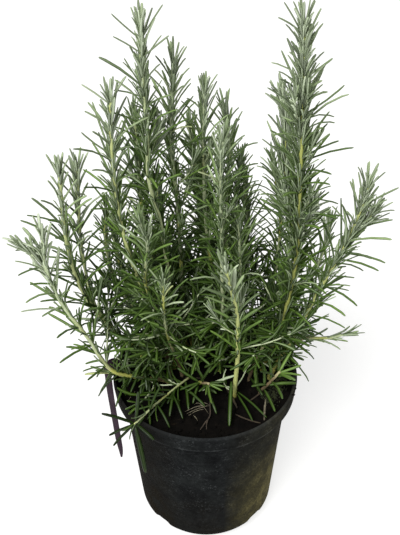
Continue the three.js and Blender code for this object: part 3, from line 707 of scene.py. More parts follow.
basal = {
    "spacing": 2.4, "axils": False, "tuft": 4, "hang": 0.6, "broad": 1.5, "darkest": -0.2, "lightest": 0.35,
}
leafyStems = [
    stem("tall_left", (-17, 22), 4.4, 1, (-25, 14, 214), (-31, 4, 294), (-37, -4, 333), (-36, -8, 374),
         (-37, -12, 416), (-36, -14, 444), spacing=2, size=1.08, axilMore=3, axilSize=1.4, lightest=0.85,
         broad=1.1, bright=0.2, stemTone=1, shoots=[(0.7, (-33, -2, 354), (-30, 0, 367))]),
    stem("second_left", (-25, 14), 4, 1, (-42, 8, 209), (-55, -4, 275), (-59, -12, 323), (-59, -18, 366),
         (-57, -22, 400), spacing=2, size=1.08, axilMore=2, axilSize=1.3, broad=1.1, lightest=0.85,
         bright=0.5, stemTone=1),
    stem("left_fork", (-32, 25), 4.6, 0.95, (-50, 17, 158), (-70, 6, 184), (-93, -4, 243), (-98, -8, 290),
         (-96, -13, 342), spacing=1.9, size=1.08, broad=1.25, bright=0.4, stemTone=1, shoots=[(0.2,
         (-84, 18, 198), (-91, 14, 259), (-89, 10, 306), (-87, 8, 334))]),
    stem("low_left", (-31, -3), 4.2, 0.95, (-54, -15, 158), (-72, -26, 176), (-87, -33, 217),
         (-103, -38, 258), (-108, -42, 294), (-107, -43, 312), spacing=2.4, size=1.08, broad=1.25, tuft=4,
         barkFor=95, shoots=[(0.84, (-111, -43, 293), (-117, -45, 303))]),
    stem("thin_left", (-25, 36), 3.2, 0.25, (-48, 43, 166), (-73, 50, 206), (-78, 54, 240), (-76, 56, 272),
         spacing=1.4),
    stem("behind_left", (-14, 38), 3.8, 0.6, (-36, 43, 202), (-47, 42, 289), (-47, 40, 328),
         (-48, 38, 357)),
    stem("mid_left", (-8, 29), 4, 0.8, (-16, 25, 195), (-18, 18, 286), (-21, 14, 350), (-18, 8, 411)),
    stem("mid_small", (-3, 47), 3.4, 0.6, (5, 56, 190), (3, 60, 254), (-6, 62, 310), (-8, 62, 337)),
    stem("mid_tall", (2, 36), 4, 0.75, (7, 34, 207), (2, 32, 276), (1, 28, 338), (2, 26, 382)),
    stem("mid_right", (13, 43), 3.8, 0.7, (18, 44, 210), (18, 46, 285), (20, 46, 328), (17, 46, 359),
         spacing=1.2),
    stem("front_tall", (12, 10), 4, 0.8, (14, 2, 202), (13, -6, 284), (12, -12, 336), (13, -16, 368)),
    stem("back_mid", (22, 46), 3.4, 0.4, (27, 59, 188), (25, 66, 260), (30, 70, 300)),
    stem("short_mid", (28, 16), 3.4, 0.5, (28, 10, 195), (27, 4, 260), (25, 0, 296)),
    stem("front_pale", (23, -20), 4.4, 0.9, (25, -27, 196), (23, -33, 240), (18, -39, 266), (15, -42, 283),
         spacing=1.75, leafless=0.3, barkFor=5, broad=1.45, size=0.9, bright=0.55, stemTone=1),
    stem("front_short", (-19, 6), 3.4, 0.5, (-25, 2, 170), (-29, -10, 200), (-30, -19, 230),
         (-29, -28, 264)),
    stem("left_crook", (-28, 7), 3.4, 0.6, (-35, 1, 202), (-43, -14, 254), (-39, -23, 290),
         (-43, -29, 314)),
    stem("tall_right", (48, 12), 4.8, 0.95, (60, 2, 196), (67, -8, 265), (66, -14, 318), (64, -18, 368),
         (62, -22, 418), (60, -24, 447), spacing=1.12, size=1.06, axilMore=4, axilSize=1.5, lightest=0.88,
         broad=1.1, agedAt=300, bright=0.8, stemTone=1, shoots=[(0.48, (57, -8, 318), (56, -4, 345),
         (56, 1, 368), (53, 4, 388)), (0.46, (72, -14, 306), (74, -18, 318))]),
    stem("back_right", (40, 38), 3.6, 0.4, (57, 56, 189), (62, 62, 256), (55, 65, 305)),
    stem("right_arm", (53, 2), 4.2, 0.9, (75, 0, 198), (90, -6, 246), (103, -10, 284), (109, -13, 314),
         (111, -15, 331), spacing=1.5, size=1.15, axilMore=2, axilSize=1.3, broad=1.1, lightest=0.88,
         agedAt=240, bright=0.6, stemTone=1, shoots=[(0.78, (112, -12, 299), (117, -13, 308))]),
    stem("low_right", (58, 13), 3, 0.6, (80, 19, 165), (102, 18, 167), (113, 16, 172), spacing=2.6,
         size=0.8),
    stem("far_right", (46, 34), 3.4, 0.6, (62, 46, 166), (84, 60, 186), (100, 70, 216), (104, 74, 240),
         spacing=1.6),
    stem("over_rim", (-12, 1), 1.9, 0.2, (-24, -20, 150), (-41, -46, 155.5), (-54, -64, 156), spacing=5,
         axils=False, tuft=0, barkFor=5, lightest=0.3, darkest=-0.2),
    stem("basal_front", (-4, -6), 2.6, 0.1, (-4, -16, 152), (3, -26, 160), **basal),
    stem("basal_middle", (36, -2), 2.8, 0.2, (40, -8, 165), (46, -14, 190), **basal),
    stem("basal_left", (-41, 8), 2.6, 0.15, (-47, 0, 155), (-50, -10, 176), **basal),
    stem("basal_right", (44, -16), 2.6, 0.15, (49, -22, 154), (58, -26, 172), **basal),
    stem("rear_1", (-38, 44), 3.4, 0.5, (-60, 62, 176), (-74, 78, 226), (-72, 86, 262)),
    stem("rear_2", (-18, 54), 3.4, 0.5, (-30, 76, 180), (-38, 90, 232), (-36, 96, 272)),
    stem("rear_3", (3, 57), 3.4, 0.5, (2, 80, 182), (0, 94, 236), (0, 98, 280)),
    stem("rear_4", (19, 55), 3.4, 0.5, (34, 78, 180), (38, 90, 230), (35, 95, 270)),
    stem("rear_5", (32, 50), 3.4, 0.5, (62, 66, 178), (74, 80, 222), (74, 84, 258)),
]


# The way of a leaf that leans from its stem by an angle, and the way its upper face looks
def leaned(stemWay, outwards, tilt):
    along = stemWay * math.cos(tilt) + outwards * math.sin(tilt)
    return along, stemWay * math.sin(tilt) - outwards * math.cos(tilt)


# Dresses one stem or shoot: opposite pairs that turn a quarter round, small leaves in their axils, side
# shoots low down, and a tuft at the tip
def dressStem(batch, course, girth, bare, turn, draw, dress):
    fresh, loose, hang, broad = dress["fresh"], dress["loose"], dress["hang"], dress["broad"]
    nodes, offTip, pair = [], 2.5, 0
    while offTip < course["length"] * (1 - bare):
        stop = course["length"] - offTip
        nodes.append(stop)
        centre, stemWay = pointOn(course, stop), directionOn(course, stop)
        lowness = min(1, offTip / habit["lowAt"])
        age = min(1, max(0, offTip / dress["agedAt"] + (1 - fresh) * habit["ageStep"]))
        size = habit["tipSize"] + (1 - habit["tipSize"]) * min(1, offTip / habit["grownAt"])
        size *= dress["size"] * (1 - habit["lowShrink"] * lowness)
        for twin in range(2):
            facing = turn + pair * math.pi / 2 + twin * math.pi
            facing += draw.gauss(0, habit["turnSpread"] * loose)
            outwards = squareTo(stemWay, facing)
            tilt = habit["tipTilt"] + habit["tilt"] * (1 - math.exp(-offTip / habit["tiltOver"]))
            tilt += habit["droop"] * lowness + hang + draw.gauss(0, habit["tiltSpread"] * loose)
            root = centre + outwards * girthOn(course, girth, stop) * habit["nearRoot"]
            stretch = habit["shortest"] + habit["longer"] * draw.random() ** 0.8
            length = leafForm["length"] * size * stretch
            width = leafForm["width"] * draw.uniform(0.85, 1.15) * broad
            bend = draw.uniform(0.1, 0.7) + 0.6 * lowness * draw.random() + 0.5 * hang
            tone = dress["darkest"] + draw.random() * (dress["lightest"] - dress["darkest"])
            addLeaf(batch, root, *leaned(stemWay, outwards, tilt), length, width, bend,
                    draw.gauss(0, habit["swaySpread"] * loose), draw.gauss(0, habit["twistSpread"] * loose),
                    age, tone)
            if dress["axils"] and offTip > habit["axilFrom"]:
                addAxil(batch, root, stemWay, outwards, tilt, offTip, age, draw, dress)
            nearCrown = centre[2] < soilForm["level"] + habit["crownHeight"]
            share = habit["crownShare" if nearCrown else "sprigShare"]
            if dress["sprigs"] and offTip > habit["sprigFrom"] and draw.random() < share:
                addSprig(batch, root, stemWay, outwards, draw, age, nearCrown)
        step = habit["tipPitch"] + (habit["pitch"] - habit["tipPitch"]) * min(1, offTip / habit["closeFor"])
        offTip += step * dress["spacing"] * draw.uniform(0.85, 1.15)
        pair += 1
    tip, stemWay = pointOn(course, course["length"]), directionOn(course, course["length"])
    for i in range(dress["tuft"]):
        outwards = squareTo(stemWay, turn + i * 0.9 + draw.gauss(0, habit["turnSpread"]))
        tilt = draw.uniform(0.04, 0.4) + hang
        length = leafForm["length"] * draw.uniform(0.4, 0.7)
        addLeaf(batch, tip - stemWay * 2, *leaned(stemWay, outwards, tilt), length,
                leafForm["smallWidth"] * broad * habit["tuftBroad"], draw.uniform(-0.15, 0.35), 0, 0,
                min(1, 0.06 + (1 - fresh) * 0.5), draw.uniform(0.15, 0.8))
    return nodes


# Small leaves that sit in the axil of a leaf, held closer to the stem than it is
def addAxil(batch, root, stemWay, outwards, tilt, offTip, age, draw, dress):
    deep = min(1, offTip / habit["axilDeepAt"])
    side = np.cross(stemWay, outwards)
    leaves = draw.choice((1, 2, 2)) if deep < 0.3 else draw.choice((2, 2, 3, 3))
    for _ in range(leaves + dress["axilMore"]):
        lean = tilt * draw.uniform(0.1, 0.75)
        turnAside = draw.gauss(0, 0.5)
        outer = unit(outwards * math.cos(turnAside) + side * math.sin(turnAside))
        length = (habit["axilTip"] + habit["axilGrowth"] * deep) * draw.uniform(0.6, 1.4) * dress["axilSize"]
        addLeaf(batch, root, *leaned(stemWay, outer, lean), length * dress["size"],
                leafForm["smallWidth"] * dress["broad"] * draw.uniform(0.75, 1.1),
                draw.uniform(-0.1, 0.6), draw.gauss(0, habit["swaySpread"]), draw.gauss(0, 0.3), age * 0.85,
                draw.random() * 0.95)


# A short side shoot: longer and more spreading near the crown
def addSprig(batch, root, stemWay, outwards, draw, age, nearCrown):
    lean, length, rise = draw.uniform(0.5, 0.9), draw.uniform(12, 28), 0.8
    if nearCrown:
        lean, length, rise = draw.uniform(0.8, 1.35), draw.uniform(20, 46), 0.25
    way = leaned(stemWay, outwards, lean)[0]
    middle = root + way * length * 0.55
    end = middle + unit(way + np.array([0, 0, rise])) * length * 0.45
    course = smoothCourse([root, middle, end])
    if not isClear(course["points"][2:]) or np.hypot(end[0], end[1]) > habit["sprigReach"]:
        return
    turn, girth = draw.uniform(0, 3), habit["sprigGirth"]
    addStem(batch, course, girth, None, turn, [], lambda stop: 0.1, draw.random())
    dress = crownSprig if nearCrown else {**highSprig, "fresh": 1 - age * 0.8}
    dressStem(batch, course, girth, habit["sprigBare"], turn, draw, dress)


# Leaves that stand out, by stem, each with its root, tip, width, bend, age and tone
placedLeaves = {
    "over_rim": [
        ((-54, -63, 156.4), (-78, -60, 164), 3.4, 0.35, 1, -0.2),
        ((-54, -64, 156), (-73, -68, 149), 3.2, 0.3, 1, -0.2),
        ((-55, -65, 156), (-70, -72, 142), 2.9, 0.3, 1, -0.2),
        ((-53, -66, 156), (-46, -84, 125), 4.1, 0.3, 1, -0.2),
        ((-52, -64, 156), (-39, -74, 150), 3.2, 0.4, 1, -0.2),
        ((-53, -62, 157), (-50, -55, 181), 2.9, -0.3, 1, -0.1),
        ((-43, -50, 156), (-35, -44, 174), 2.6, 0.3, 1, 0),
        ((-18, -10, 146), (-42, -1, 148), 2.9, 0.5, 0.8, 0.15),
        ((-16, -7, 145), (-13.5, -37, 144), 2.7, 0.9, 0.9, 0.1),
        ((-19, -12, 147), (-26, -19, 144), 2.4, 0.5, 0.9, 0.1),
        ((-24, -20, 150), (-28, -46, 146), 2.6, 1, 0.9, 0.05),
        ((-23, -18, 149.5), (-36, -38, 145), 2.4, 0.9, 1, 0),
        ((-34, -36, 154), (-47, -43, 146), 3.2, 0.5, 0.9, 0.1),
        ((-30, -30, 153), (-50, -24, 149), 2.4, 0.5, 0.9, 0.05),
        ((-27, -26, 152), (-18, -48, 145), 2.2, 0.9, 1, -0.05),
        ((-38, -42, 155), (-28, -58, 146), 2.2, 0.8, 1, 0),
        ((-21, -15, 148), (-1, -35, 145), 2.6, 0.8, 0.9, 0.1),
        ((-26, -24, 151), (-38, -19, 147), 2.6, 0.5, 1, -0.05),
        ((-32, -33, 153), (-20, -33, 149), 2.6, 0.5, 1, 0),
        ((-36, -39, 154.5), (-52, -34, 152), 2.6, 0.5, 1, 0),
        ((-22, -17, 149), (-30, -34, 147), 2.8, 0.7, 1, 0),
    ],
    "basal_front": [
        ((-5, -14, 150), (-10, -31, 144), 2.6, 0.7, 0.9, 0.1),
        ((-3, -17, 153), (-20, -22, 150), 2.8, 0.5, 0.8, 0.2),
        ((-2, -19, 154), (8, -44, 146), 2.4, 0.9, 0.9, 0.1),
    ],
    "basal_middle": [
        ((40, -8, 164), (42, -19, 145), 2.6, 0.6, 0.9, 0.15),
    ],
    "basal_left": [
        ((-47, -1, 156), (-52, -27, 148), 2.5, 0.9, 1, 0),
        ((-48, -3, 160), (-59, -27, 152.5), 2.6, 0.7, 1, 0.05),
        ((-46, 2, 152), (-66, -8, 151), 2.5, 0.6, 1, 0), ((-47, 0, 155), (-44, -24, 147), 2.6, 0.9, 0.9, 0),
        ((-49, -6, 168), (-62, -24, 156), 2.6, 0.7, 0.9, 0.1),
        ((-48, -3, 159), (-36, -20, 149), 2.4, 0.7, 0.9, 0.1),
        ((-48, -4, 162), (-30, -14, 154), 2.7, 0.6, 1, 0), ((-47, -1, 157), (-62, -16, 154), 2.7, 0.6, 1, 0),
        ((-49, -5, 165), (-46, -26, 154), 2.6, 0.7, 1, -0.05),
        ((-46, 1, 153), (-38, -12, 146), 2.5, 0.6, 1, -0.05),
    ],
    "low_right": [
        ((66, 15, 154), (63, 0, 144), 2.6, 0.6, 0.9, 0.3), ((66, 15, 154), (81, 6, 154), 2.7, 0.5, 0.8, 0.4),
    ],
    "low_left": [
        ((-109, -43, 303), (-133, -44, 314), 2.6, 0.25, 0, 0.95),
        ((-110, -43, 299), (-130, -43, 311), 3, 0.2, 0, 0.95),
        ((-107.5, -43, 306), (-107.3, -43, 332), 2.2, 0.05, 0, 0.95),
        ((-112, -43, 303), (-126, -43, 303), 1.9, 0.3, 0.5, 0.2),
        ((-106, -41, 276), (-116.5, -43, 298), 3.8, 0.1, 0, 0.95),
        ((-107.5, -41, 288), (-127, -43, 282), 2.2, 0.5, 0.4, 0.2),
        ((-105, -39, 271), (-120, -43, 274), 2.2, 0.4, 0.4, 0.2),
        ((-101, -37, 255), (-115, -42, 258), 2.3, 0.4, 0.4, 0.3),
        ((-100, -37, 250), (-115, -44, 246), 2.3, 0.4, 0.3, 0.5),
        ((-77, -29, 190), (-91, -30, 187), 2.6, 0.4, 0.5, 0.5),
        ((-75, -28, 184), (-84, -28, 171), 2.4, 0.5, 0.7, 0.3),
        ((-66, -22, 170), (-85.5, -21, 143.5), 2.5, 0.4, 0.8, 0.2),
        ((-69, -24, 173), (-83.5, -24, 150), 2.4, 0.4, 0.8, 0.3),
        ((-72, -26, 176), (-80, -26, 156.5), 2.4, 0.3, 0.8, 0.4),
        ((-64, -21, 168), (-63, -27, 149.5), 2.4, 0.5, 0.9, 0.2),
        ((-60, -19, 165), (-75, -24, 170), 2.6, 0.5, 0.8, 0.2),
        ((-64, -21, 168), (-73, -25, 182), 2.4, 0.3, 0.7, 0.3),
        ((-58, -18, 163), (-68, -23, 161), 2.8, 0.4, 0.9, 0.2),
        ((-60, -19, 165), (-66, -23, 186), 2.4, 0.3, 0.7, 0.3),
        ((-66, -22, 170), (-60, -22, 187), 2.3, 0.3, 0.6, 0.4),
        ((-69, -24, 173), (-77, -26, 179), 2.6, 0.3, 0.7, 0.5),
    ],
    "left_fork": [
        ((-97.5, -8, 300), (-123, -8, 308), 2, 0.3, 0.5, 0.15),
        ((-97.5, -7, 285), (-107.5, -8, 302), 2.6, 0.1, 0.6, 0.05),
        ((-96, -6, 266), (-109, -8, 278), 2.2, 0.3, 0.5, 0.3),
        ((-95, -5, 258), (-111, -8, 259), 2.2, 0.4, 0.5, 0.2),
    ],
    "right_arm": [
        ((108, -12, 312), (132, -16, 331), 2, 0.2, 0.2, 0.3),
        ((105, -11, 292), (131, -16, 305), 2, 0.45, 0.3, 0.3),
        ((99, -9, 272), (130, -16, 268), 2.2, 0.6, 0.35, 0.4),
        ((97, -8, 266), (126, -16, 261), 2.2, 0.6, 0.4, 0.4),
        ((88, -5, 240), (114, -14, 227), 2.3, 0.7, 0.5, 0.4),
    ],
    "tall_right": [
        ((61, -24, 440), (48, -24, 462), 1.9, 0.15, 0.1, 0.3),
        ((59.8, -24, 443), (45, -24, 453), 2, 0.4, 0.1, 0.3),
        ((61.3, -24, 436), (69.5, -24, 458), 2.2, 0.15, 0.1, 0.5),
        ((61.5, -23.5, 433), (71.3, -24, 449), 2, 0.2, 0.1, 0.3),
        ((62.8, -22, 414), (79, -22, 426.5), 2.2, -0.1, 0.2, 0.3),
        ((63.8, -20, 388), (88, -20, 408), 1.9, -0.25, 0.3, 0.2),
        ((65.5, -17, 352), (98, -18, 363), 1.9, 0.5, 0.4, 0.2),
        ((67, -13, 305), (96, -18, 310), 1.9, 0.5, 0.5, 0.2),
    ],
    "tall_left": [
        ((-36.6, -14, 437), (-53, -14, 453), 1.8, -0.1, 0.1, 0.3),
        ((-36.6, -14, 428), (-53, -14, 439), 1.8, 0.2, 0.1, 0.3),
        ((-35.6, -14, 438), (-22.5, -14, 458), 1.8, 0.1, 0.1, 0.3),
        ((-35.4, -14, 426), (-19.5, -14, 439), 1.9, 0.1, 0.1, 0.3),
        ((-37, -13, 398), (-55, -14, 404), 1.8, 0.5, 0.2, 0.3),
    ],
    "second_left": [
        ((-57.6, -21, 398), (-74, -20, 411), 2, 0.2, 0, 0.8),
        ((-58, -20, 381), (-74, -18, 392), 2.2, 0.3, 0.1, 0.6),
        ((-59, -17, 360), (-78, -14, 375), 2, -0.3, 0.2, 0.3),
    ],
    "front_pale": [
        ((20.5, -24, 160), (17.8, -56, 144.5), 3.5, 0.5, 0.9, 0.2),
        ((24, -23, 166), (-2, -24, 151), 3, 0.6, 0.5, 0.97),
        ((23.5, -21, 149), (-2, -13, 148), 2, 0.5, 0.5, 0.98),
        ((25, -23, 146), (36, -50, 143.5), 2.1, 0.4, 0.9, 0.1),
        ((25.5, -22, 147), (47, -47, 143.5), 2, 0.4, 0.9, 0.15),
    ],
}


# Thin pale shoots near the crown that have lost their leaves, by the stem that they grow from
thinShoots = {
    "over_rim": [
        [(-19, -12, 147), (-26.8, -14, 148), (-36.2, -15.3, 149), (-47.4, -12.4, 152), (-57.8, -10.8, 154),
         (-67.9, -12.6, 157), (-74.4, -7.6, 160)]],
    "front_short": [
        [(-19.5, 5.5, 147), (-24.4, 11, 156), (-36.5, 10.5, 160), (-52.5, 6.4, 163), (-66.7, -0.5, 162),
         (-73, 2.4, 166)],
        [(-21, 4, 155), (-18.4, 4.4, 162), (-20.8, 8.6, 168), (-16.7, 14.9, 171)]],
    "front_pale": [
        [(23, -20, 146), (17.5, -22, 150), (14.2, -16, 155), (16.8, -9.5, 160)],
        [(23.5, -21, 150), (30.3, -14, 156), (35.4, -5, 163), (41.3, 3, 169), (47.2, 8, 172)],
        [(33, -9, 160), (41, -5, 164), (46.6, -5, 162), (52.3, -6.5, 158)]],
}


def makeStem(index, form, finishes):
    batch = newBatch()
    draw = random.Random(index * 7 + 3)
    x, y = form["foot"]
    rooted = (x, y, soilHeight(x, y) + stemForm["footRise"])
    buried = np.array([x, y, soilForm["level"] - stemForm["footDepth"]])
    main = smoothCourse([rooted, *form["course"]])
    turn, youngest = index * habit["turnStep"], (1 - form["fresh"]) * stemForm["oldAge"]
    tone = form.get("stemTone", draw.random())
    nodes = dressStem(batch, main, form["girth"], form["leafless"], turn, draw, form)

    def ageAt(stop):
        belowTip = stemForm["ageing"] * (1 - stop / main["length"])
        return min(1, max(0, 1 - stop / form["barkFor"]) + youngest + belowTip)

    addStem(batch, main, form["girth"], buried, turn, nodes, ageAt, tone, form["bright"])
    for number, (share, *course) in enumerate(form["shoots"]):
        start = pointOn(main, share * main["length"])
        branch = smoothCourse([start, *course])
        girth = girthOn(main, form["girth"], share * main["length"]) * stemForm["shootShare"]
        nodes = dressStem(batch, branch, girth, habit["shootBare"], number + 0.5, draw, form)
        addStem(batch, branch, girth, None, number + 0.5, nodes, lambda stop: youngest, tone, form["bright"])
    for through in thinShoots.get(form["name"], []):
        addStem(batch, smoothCourse(through), stemForm["thinGirth"], None, 0, [],
                lambda stop: stemForm["thinAge"], stemForm["thinTone"])
    for leaf in placedLeaves.get(form["name"], []):
        addPlacedLeaf(batch, *leaf)
    name = "stem_" + form["name"]
    return makePiece(name + "_leafy", batch, finishes, name)


rosemary = [leafFinish(), stemFinish()]
triangles = 0
for index, form in enumerate(leafyStems):
    piece = makeStem(index, form, rosemary)
    triangles += sum(len(face.vertices) - 2 for face in piece.data.polygons)
print("leafy stems grown:", len(leafyStems), "stems,", triangles, "triangles")


# Label: a strip of plum polypropylene, faded in soft patches and folded over the rim, left bare. leg and
# inside are its middle line below the bend, outside and inside the pot, as distance inwards and height;
# section is half its outline across.
labelForm = {
    "width": 14, "thickness": 0.8, "turn": 30, "at": (-78.8, -5), "point": 22, "pointWidth": 0.14,
    "camber": 0.5, "flatFrom": 100, "flatCamber": 0.15,
    "crownRadius": 7, "crownHeight": 153, "sharpFrom": 50,
    "colours": [(0.4, "#2b1f28"), (0.75, "#3b2d37")], "blotches": {"size": 14, "Detail": 4},
    "grain": {"size": 0.9, "Detail": 2}, "relief": {"Strength": 0.2, "Distance": 0.08 * mm},
    "surface": {"Roughness": 0.8, "Specular IOR Level": 0.05, "IOR": 1.49},
    "leg": [(4.6, 50), (3.7, 66), (2.7, 85), (1.6, 105), (0.4, 128), (0.05, 142)],
    "inside": [(14, 148), (19.5, 137.5), (22, 121)],
    "section": [(-0.5, -0.4), (-0.47, -1), (-0.25, -1), (0, -1), (0.25, -1), (0.47, -1), (0.5, -0.4)],
}


def makeLabel():
    radius, crown, thin = labelForm["crownRadius"], labelForm["crownHeight"], labelForm["thickness"] / 2
    line = list(labelForm["leg"])
    for angle in range(180, -1, -10):
        along = radius * (1 + math.cos(math.radians(angle)))
        line.append((along, crown + radius * math.sin(math.radians(angle))))
    line += labelForm["inside"]
    fold = smoothCourse([(along, 0, height) for along, height in line], step=1.5)
    turn = math.radians(labelForm["turn"])
    inwards = np.array([math.cos(turn), math.sin(turn), 0])
    sideways = np.array([-math.sin(turn), math.cos(turn), 0])
    origin = np.array([*labelForm["at"], 0])
    section = labelForm["section"] + [(-across, -face) for across, face in labelForm["section"]]
    points = []
    for stop in fold["reach"]:
        place, way = pointOn(fold, stop), directionOn(fold, stop)
        width = labelForm["width"]
        if stop < labelForm["point"]:
            blunt = labelForm["pointWidth"]
            width *= blunt + (1 - blunt) * math.sin(math.pi / 2 * stop / labelForm["point"]) ** 0.9
        outwards = np.array([-way[2], 0, way[0]])
        camber = labelForm["camber" if stop < labelForm["flatFrom"] else "flatCamber"]
        for across, face in section:
            bowed = camber * (across * 2) ** 2
            local = place + outwards * (face * thin - bowed)
            spot = origin + inwards * local[0] + sideways * across * width
            points.append(spot + np.array([0, 0, local[2]]))
    batch = newBatch()
    addPart(batch, np.array(points), tubeFaces(len(fold["reach"]), len(section)))
    finish = blotchyFinish("dyedPolypropyleneStrip", labelForm)
    label = makePiece("label_strip", batch, [finish], "plant_label")
    smoothCorners(label.data, labelForm["sharpFrom"])


makeLabel()
print("label folded over the rim")


# Litter on the soil: crumbs of peat, dry threads, fallen leaves, a forked twig, a splinter and a patch of
# moss. brush is the tuft of pale threads in front: where each starts and ends, and how far it rises. twig
# is its parts, as places and heights above the ground, and each Within is the farthest from the middle that
# a thing may lie.
litterForm = {
    "crumbs": 430, "crumbsWithin": 68.5, "threads": 5, "threadsWithin": 62, "fallen": 9, "fallenWithin": 60,
    "endsWithin": 67, "mossShoots": 520, "mossWithin": 69, "mossFrom": (47, -24), "mossAlong": (19, 26),
    "straw": "#989178", "oldStraw": "#4f4838", "dead": "#2c241a", "paleDead": "#453a28",
    "bark": "#4c4034", "darkBark": "#2e261e", "moss": "#1b200b", "mossTip": "#343a16",
    "onRim": [(71.6, -22.6), (69.3, -29.6), (70.4, -26)],
    "brush": [((-16.5, -35.6), (3.7, -31.6), 0.7), ((-13.3, -41), (-1.5, -34), 0.5),
              ((-15, -38.5), (2, -32), 0.4), ((-5, -29), (3, -31), 0.3), ((-9.7, -40.3), (-6.5, -45.3), 0.4)],
    "splinter": [(45.7, -44.9, 137), (45.6, -44.6, 150), (46, -44.2, 160.5)],
    "twig": [((-5, -57, 0.7), (-0.5, -49, 1.8), (3.2, -42, 2.2), (3.4, -28, 2)),
             ((0.4, -55.5, 0.7), (0.6, -50, 1.2), (3.2, -42, 2.2))],
}


# Dry stuff, darker and lighter in small blotches
def dryFinish(name, dark, light, size):
    return blotchyFinish(name, {
        "colours": [(0.35, litterForm[dark]), (0.68, litterForm[light])],
        "blotches": {"size": size, "Detail": 4}, "relief": {"Strength": 0.4, "Distance": 0.2 * mm},
        "surface": {"Roughness": 0.85}})


# A thin round strand along a line, thick in the middle and tapered at its ends
def addStrand(batch, through, radius, sides=6, taper=0.5):
    course = smoothCourse(through, step=1.6)
    points = []
    for stop in course["reach"]:
        share = stop / course["length"]
        thick = radius * (1 - taper * abs(2 * share - 1) ** 2)
        points += ringRound(pointOn(course, stop), directionOn(course, stop), 0, thick, sides)
    addPart(batch, np.array(points), tubeFaces(len(course["reach"]), sides))


# A crumb: a roughened solid of twenty faces
def addCrumb(batch, centre, size, draw):
    golden = (1 + math.sqrt(5)) / 2
    corners = np.array([(-1, golden, 0), (1, golden, 0), (-1, -golden, 0), (1, -golden, 0), (0, -1, golden),
                        (0, 1, golden), (0, -1, -golden), (0, 1, -golden), (golden, 0, -1), (golden, 0, 1),
                        (-golden, 0, -1), (-golden, 0, 1)]) / math.hypot(1, golden)
    faces = [(0, 11, 5), (0, 5, 1), (0, 1, 7), (0, 7, 10), (0, 10, 11), (1, 5, 9), (5, 11, 4),
             (11, 10, 2), (10, 7, 6), (7, 1, 8), (3, 9, 4), (3, 4, 2), (3, 2, 6), (3, 6, 8),
             (3, 8, 9), (4, 9, 5), (2, 4, 11), (6, 2, 10), (8, 6, 7), (9, 8, 1)]
    stretch = np.array([draw.uniform(0.7, 1.3), draw.uniform(0.7, 1.3), draw.uniform(0.55, 0.95)])
    rough = np.array([draw.uniform(0.78, 1.15) for _ in corners])[:, None]
    turned = np.array(Euler([draw.uniform(0, 6) for _ in range(3)]).to_matrix())
    addPart(batch, centre + (corners * rough * stretch * size) @ turned.T, faces)


# A point some way above the ground
def overGround(x, y, lift):
    return (x, y, groundHeight(x, y) + lift)


def anySpot(draw, farthest):
    angle, reach = draw.uniform(0, 2 * math.pi), farthest * math.sqrt(draw.random())
    return reach * math.cos(angle), reach * math.sin(angle)


def makeCrumbs(draw, peat):
    crumbs = newBatch()
    for _ in range(litterForm["crumbs"]):
        x, y = anySpot(draw, litterForm["crumbsWithin"])
        size = draw.uniform(0.6, 1.9)
        addCrumb(crumbs, np.array(overGround(x, y, size * 0.25)), size, draw)
    for x, y in litterForm["onRim"]:
        addCrumb(crumbs, np.array([x, y, potForm["height"] + 0.2]), draw.uniform(0.9, 1.5), draw)
    makePiece("soil_crumbs", crumbs, [peat])


def makeThreads(draw):
    straw = newBatch()
    for _ in range(litterForm["threads"]):
        start = np.array(anySpot(draw, litterForm["threadsWithin"]))
        way, length = draw.uniform(0, 6.3), draw.uniform(8, 22)
        line = []
        for step in range(4):
            spot = start + length * step / 3 * np.array([math.cos(way), math.sin(way)])
            spot *= min(1, litterForm["endsWithin"] / max(1, np.hypot(*spot)))
            way += draw.gauss(0, 0.15)
            line.append(overGround(*spot, 0.5 + (draw.uniform(0, 2.2) if step in (1, 2) else 0)))
        addStrand(straw, line, draw.uniform(0.14, 0.24))
    for start, end, rise in litterForm["brush"]:
        middle = ((start[0] + end[0]) / 2, (start[1] + end[1]) / 2 + 1)
        line = [overGround(*start, 0.7), overGround(*middle, rise + 0.7), overGround(*end, 0.8)]
        addStrand(straw, line, 0.26)
    addStrand(straw, litterForm["splinter"], 0.95, 6, 0.6)
    makePiece("dry_threads", straw, [dryFinish("dryGrass", "oldStraw", "straw", 4)])


def makeTwig():
    twig = newBatch()
    for radius, through in zip((0.62, 0.5), litterForm["twig"]):
        addStrand(twig, [overGround(*place) for place in through], radius, 7, 0.4)
    makePiece("forked_twig", twig, [dryFinish("twigBark", "darkBark", "bark", 3)])


def makeFallenLeaves(draw):
    fallen = newBatch()
    for _ in range(litterForm["fallen"]):
        x, y = anySpot(draw, litterForm["fallenWithin"])
        way = draw.uniform(0, 6.3)
        along = unit(np.array([math.cos(way), math.sin(way), 0.04]))
        points, line = bladePoints(
            np.array(overGround(x, y, 1)), along, np.array([0, 0, 1.0]), draw.uniform(14, 26),
            draw.uniform(1.3, 2), draw.uniform(-0.1, 0.2), draw.gauss(0, 0.4), draw.uniform(-1, 1),
            bladeOutline, bladeSection)
        if np.hypot(line[-1][0], line[-1][1]) < litterForm["endsWithin"]:
            addPart(fallen, points, bladeFaces)
    dead = dryFinish("driedLeaf", "dead", "paleDead", 5)
    makePiece("fallen_leaves", fallen, [dead])


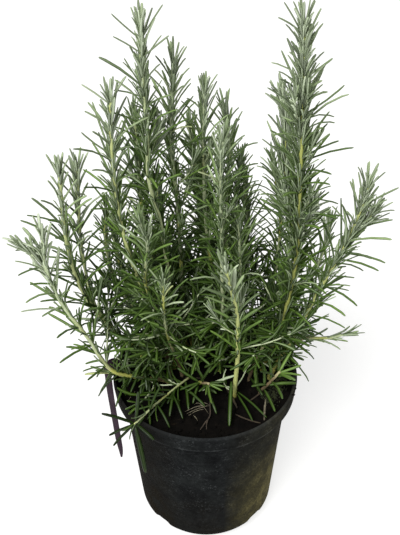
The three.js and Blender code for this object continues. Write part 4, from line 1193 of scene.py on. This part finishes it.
def makeMoss(draw):
    moss = newBatch()
    (fromX, fromY), (alongX, alongY) = litterForm["mossFrom"], litterForm["mossAlong"]
    for _ in range(litterForm["mossShoots"]):
        share, aside = draw.random(), draw.gauss(0, 6)
        x, y = fromX + alongX * share + aside * 0.5, fromY + alongY * share - aside * 0.6
        if math.hypot(x, y) > litterForm["mossWithin"]:
            continue
        foot = np.array(overGround(x, y, -0.2))
        lean = np.array([draw.gauss(0, 0.5), draw.gauss(0, 0.5), 1.0])
        addStrand(moss, [foot, foot + lean * 0.9, foot + lean * 1.6 + np.array([draw.gauss(0, 0.3), 0, 0.2])],
                  draw.uniform(0.3, 0.55), 4, 0.8)
    makePiece("moss_patch", moss, [dryFinish("cushionMoss", "moss", "mossTip", 4)])


chance = random.Random(11)
makeCrumbs(chance, peatCompost)
makeThreads(chance)
makeTwig()
makeFallenLeaves(chance)
makeMoss(chance)
print("litter strewn on the soil")


# Floor and light: a white studio floor, with one broad soft light from above and in front
studioForm = {
    "breadth": 6, "sky": 0.27, "key": 3.7, "keyFrom": (-0.35, -0.75, 1.0), "keyBreadth": 30,
    "colours": [(0.3, "#9f9f9d"), (0.7, "#a2a2a0")], "blotches": {"size": 60, "Detail": 2},
    "surface": {"Roughness": 0.9, "Emission Color": (1, 1, 1, 1), "Emission Strength": 0.72},
}


def makeStudio():
    far = studioForm["breadth"]
    mesh = bpy.data.meshes.new("floor")
    mesh.from_pydata([(-far, -far, 0), (far, -far, 0), (far, far, 0), (-far, far, 0)], [], [(0, 1, 2, 3)])
    mesh.materials.append(blotchyFinish("whiteStudioPaper", studioForm))
    addObject("floor", mesh)
    world = bpy.data.worlds.new("studio")
    world.use_nodes = True
    fillNode(world.node_tree.nodes["Background"], {"Color": (1, 1, 1, 1), "Strength": studioForm["sky"]})
    bpy.context.scene.world = world
    data = bpy.data.lights.new("softKey", "SUN")
    data.energy = studioForm["key"]
    data.angle = math.radians(studioForm["keyBreadth"])
    lamp = addObject("softKey", data)
    lamp.rotation_euler = Vector(studioForm["keyFrom"]).to_track_quat("Z", "Y").to_euler()
    bpy.context.scene.view_settings.view_transform = "Standard"


makeStudio()
print("studio lit")
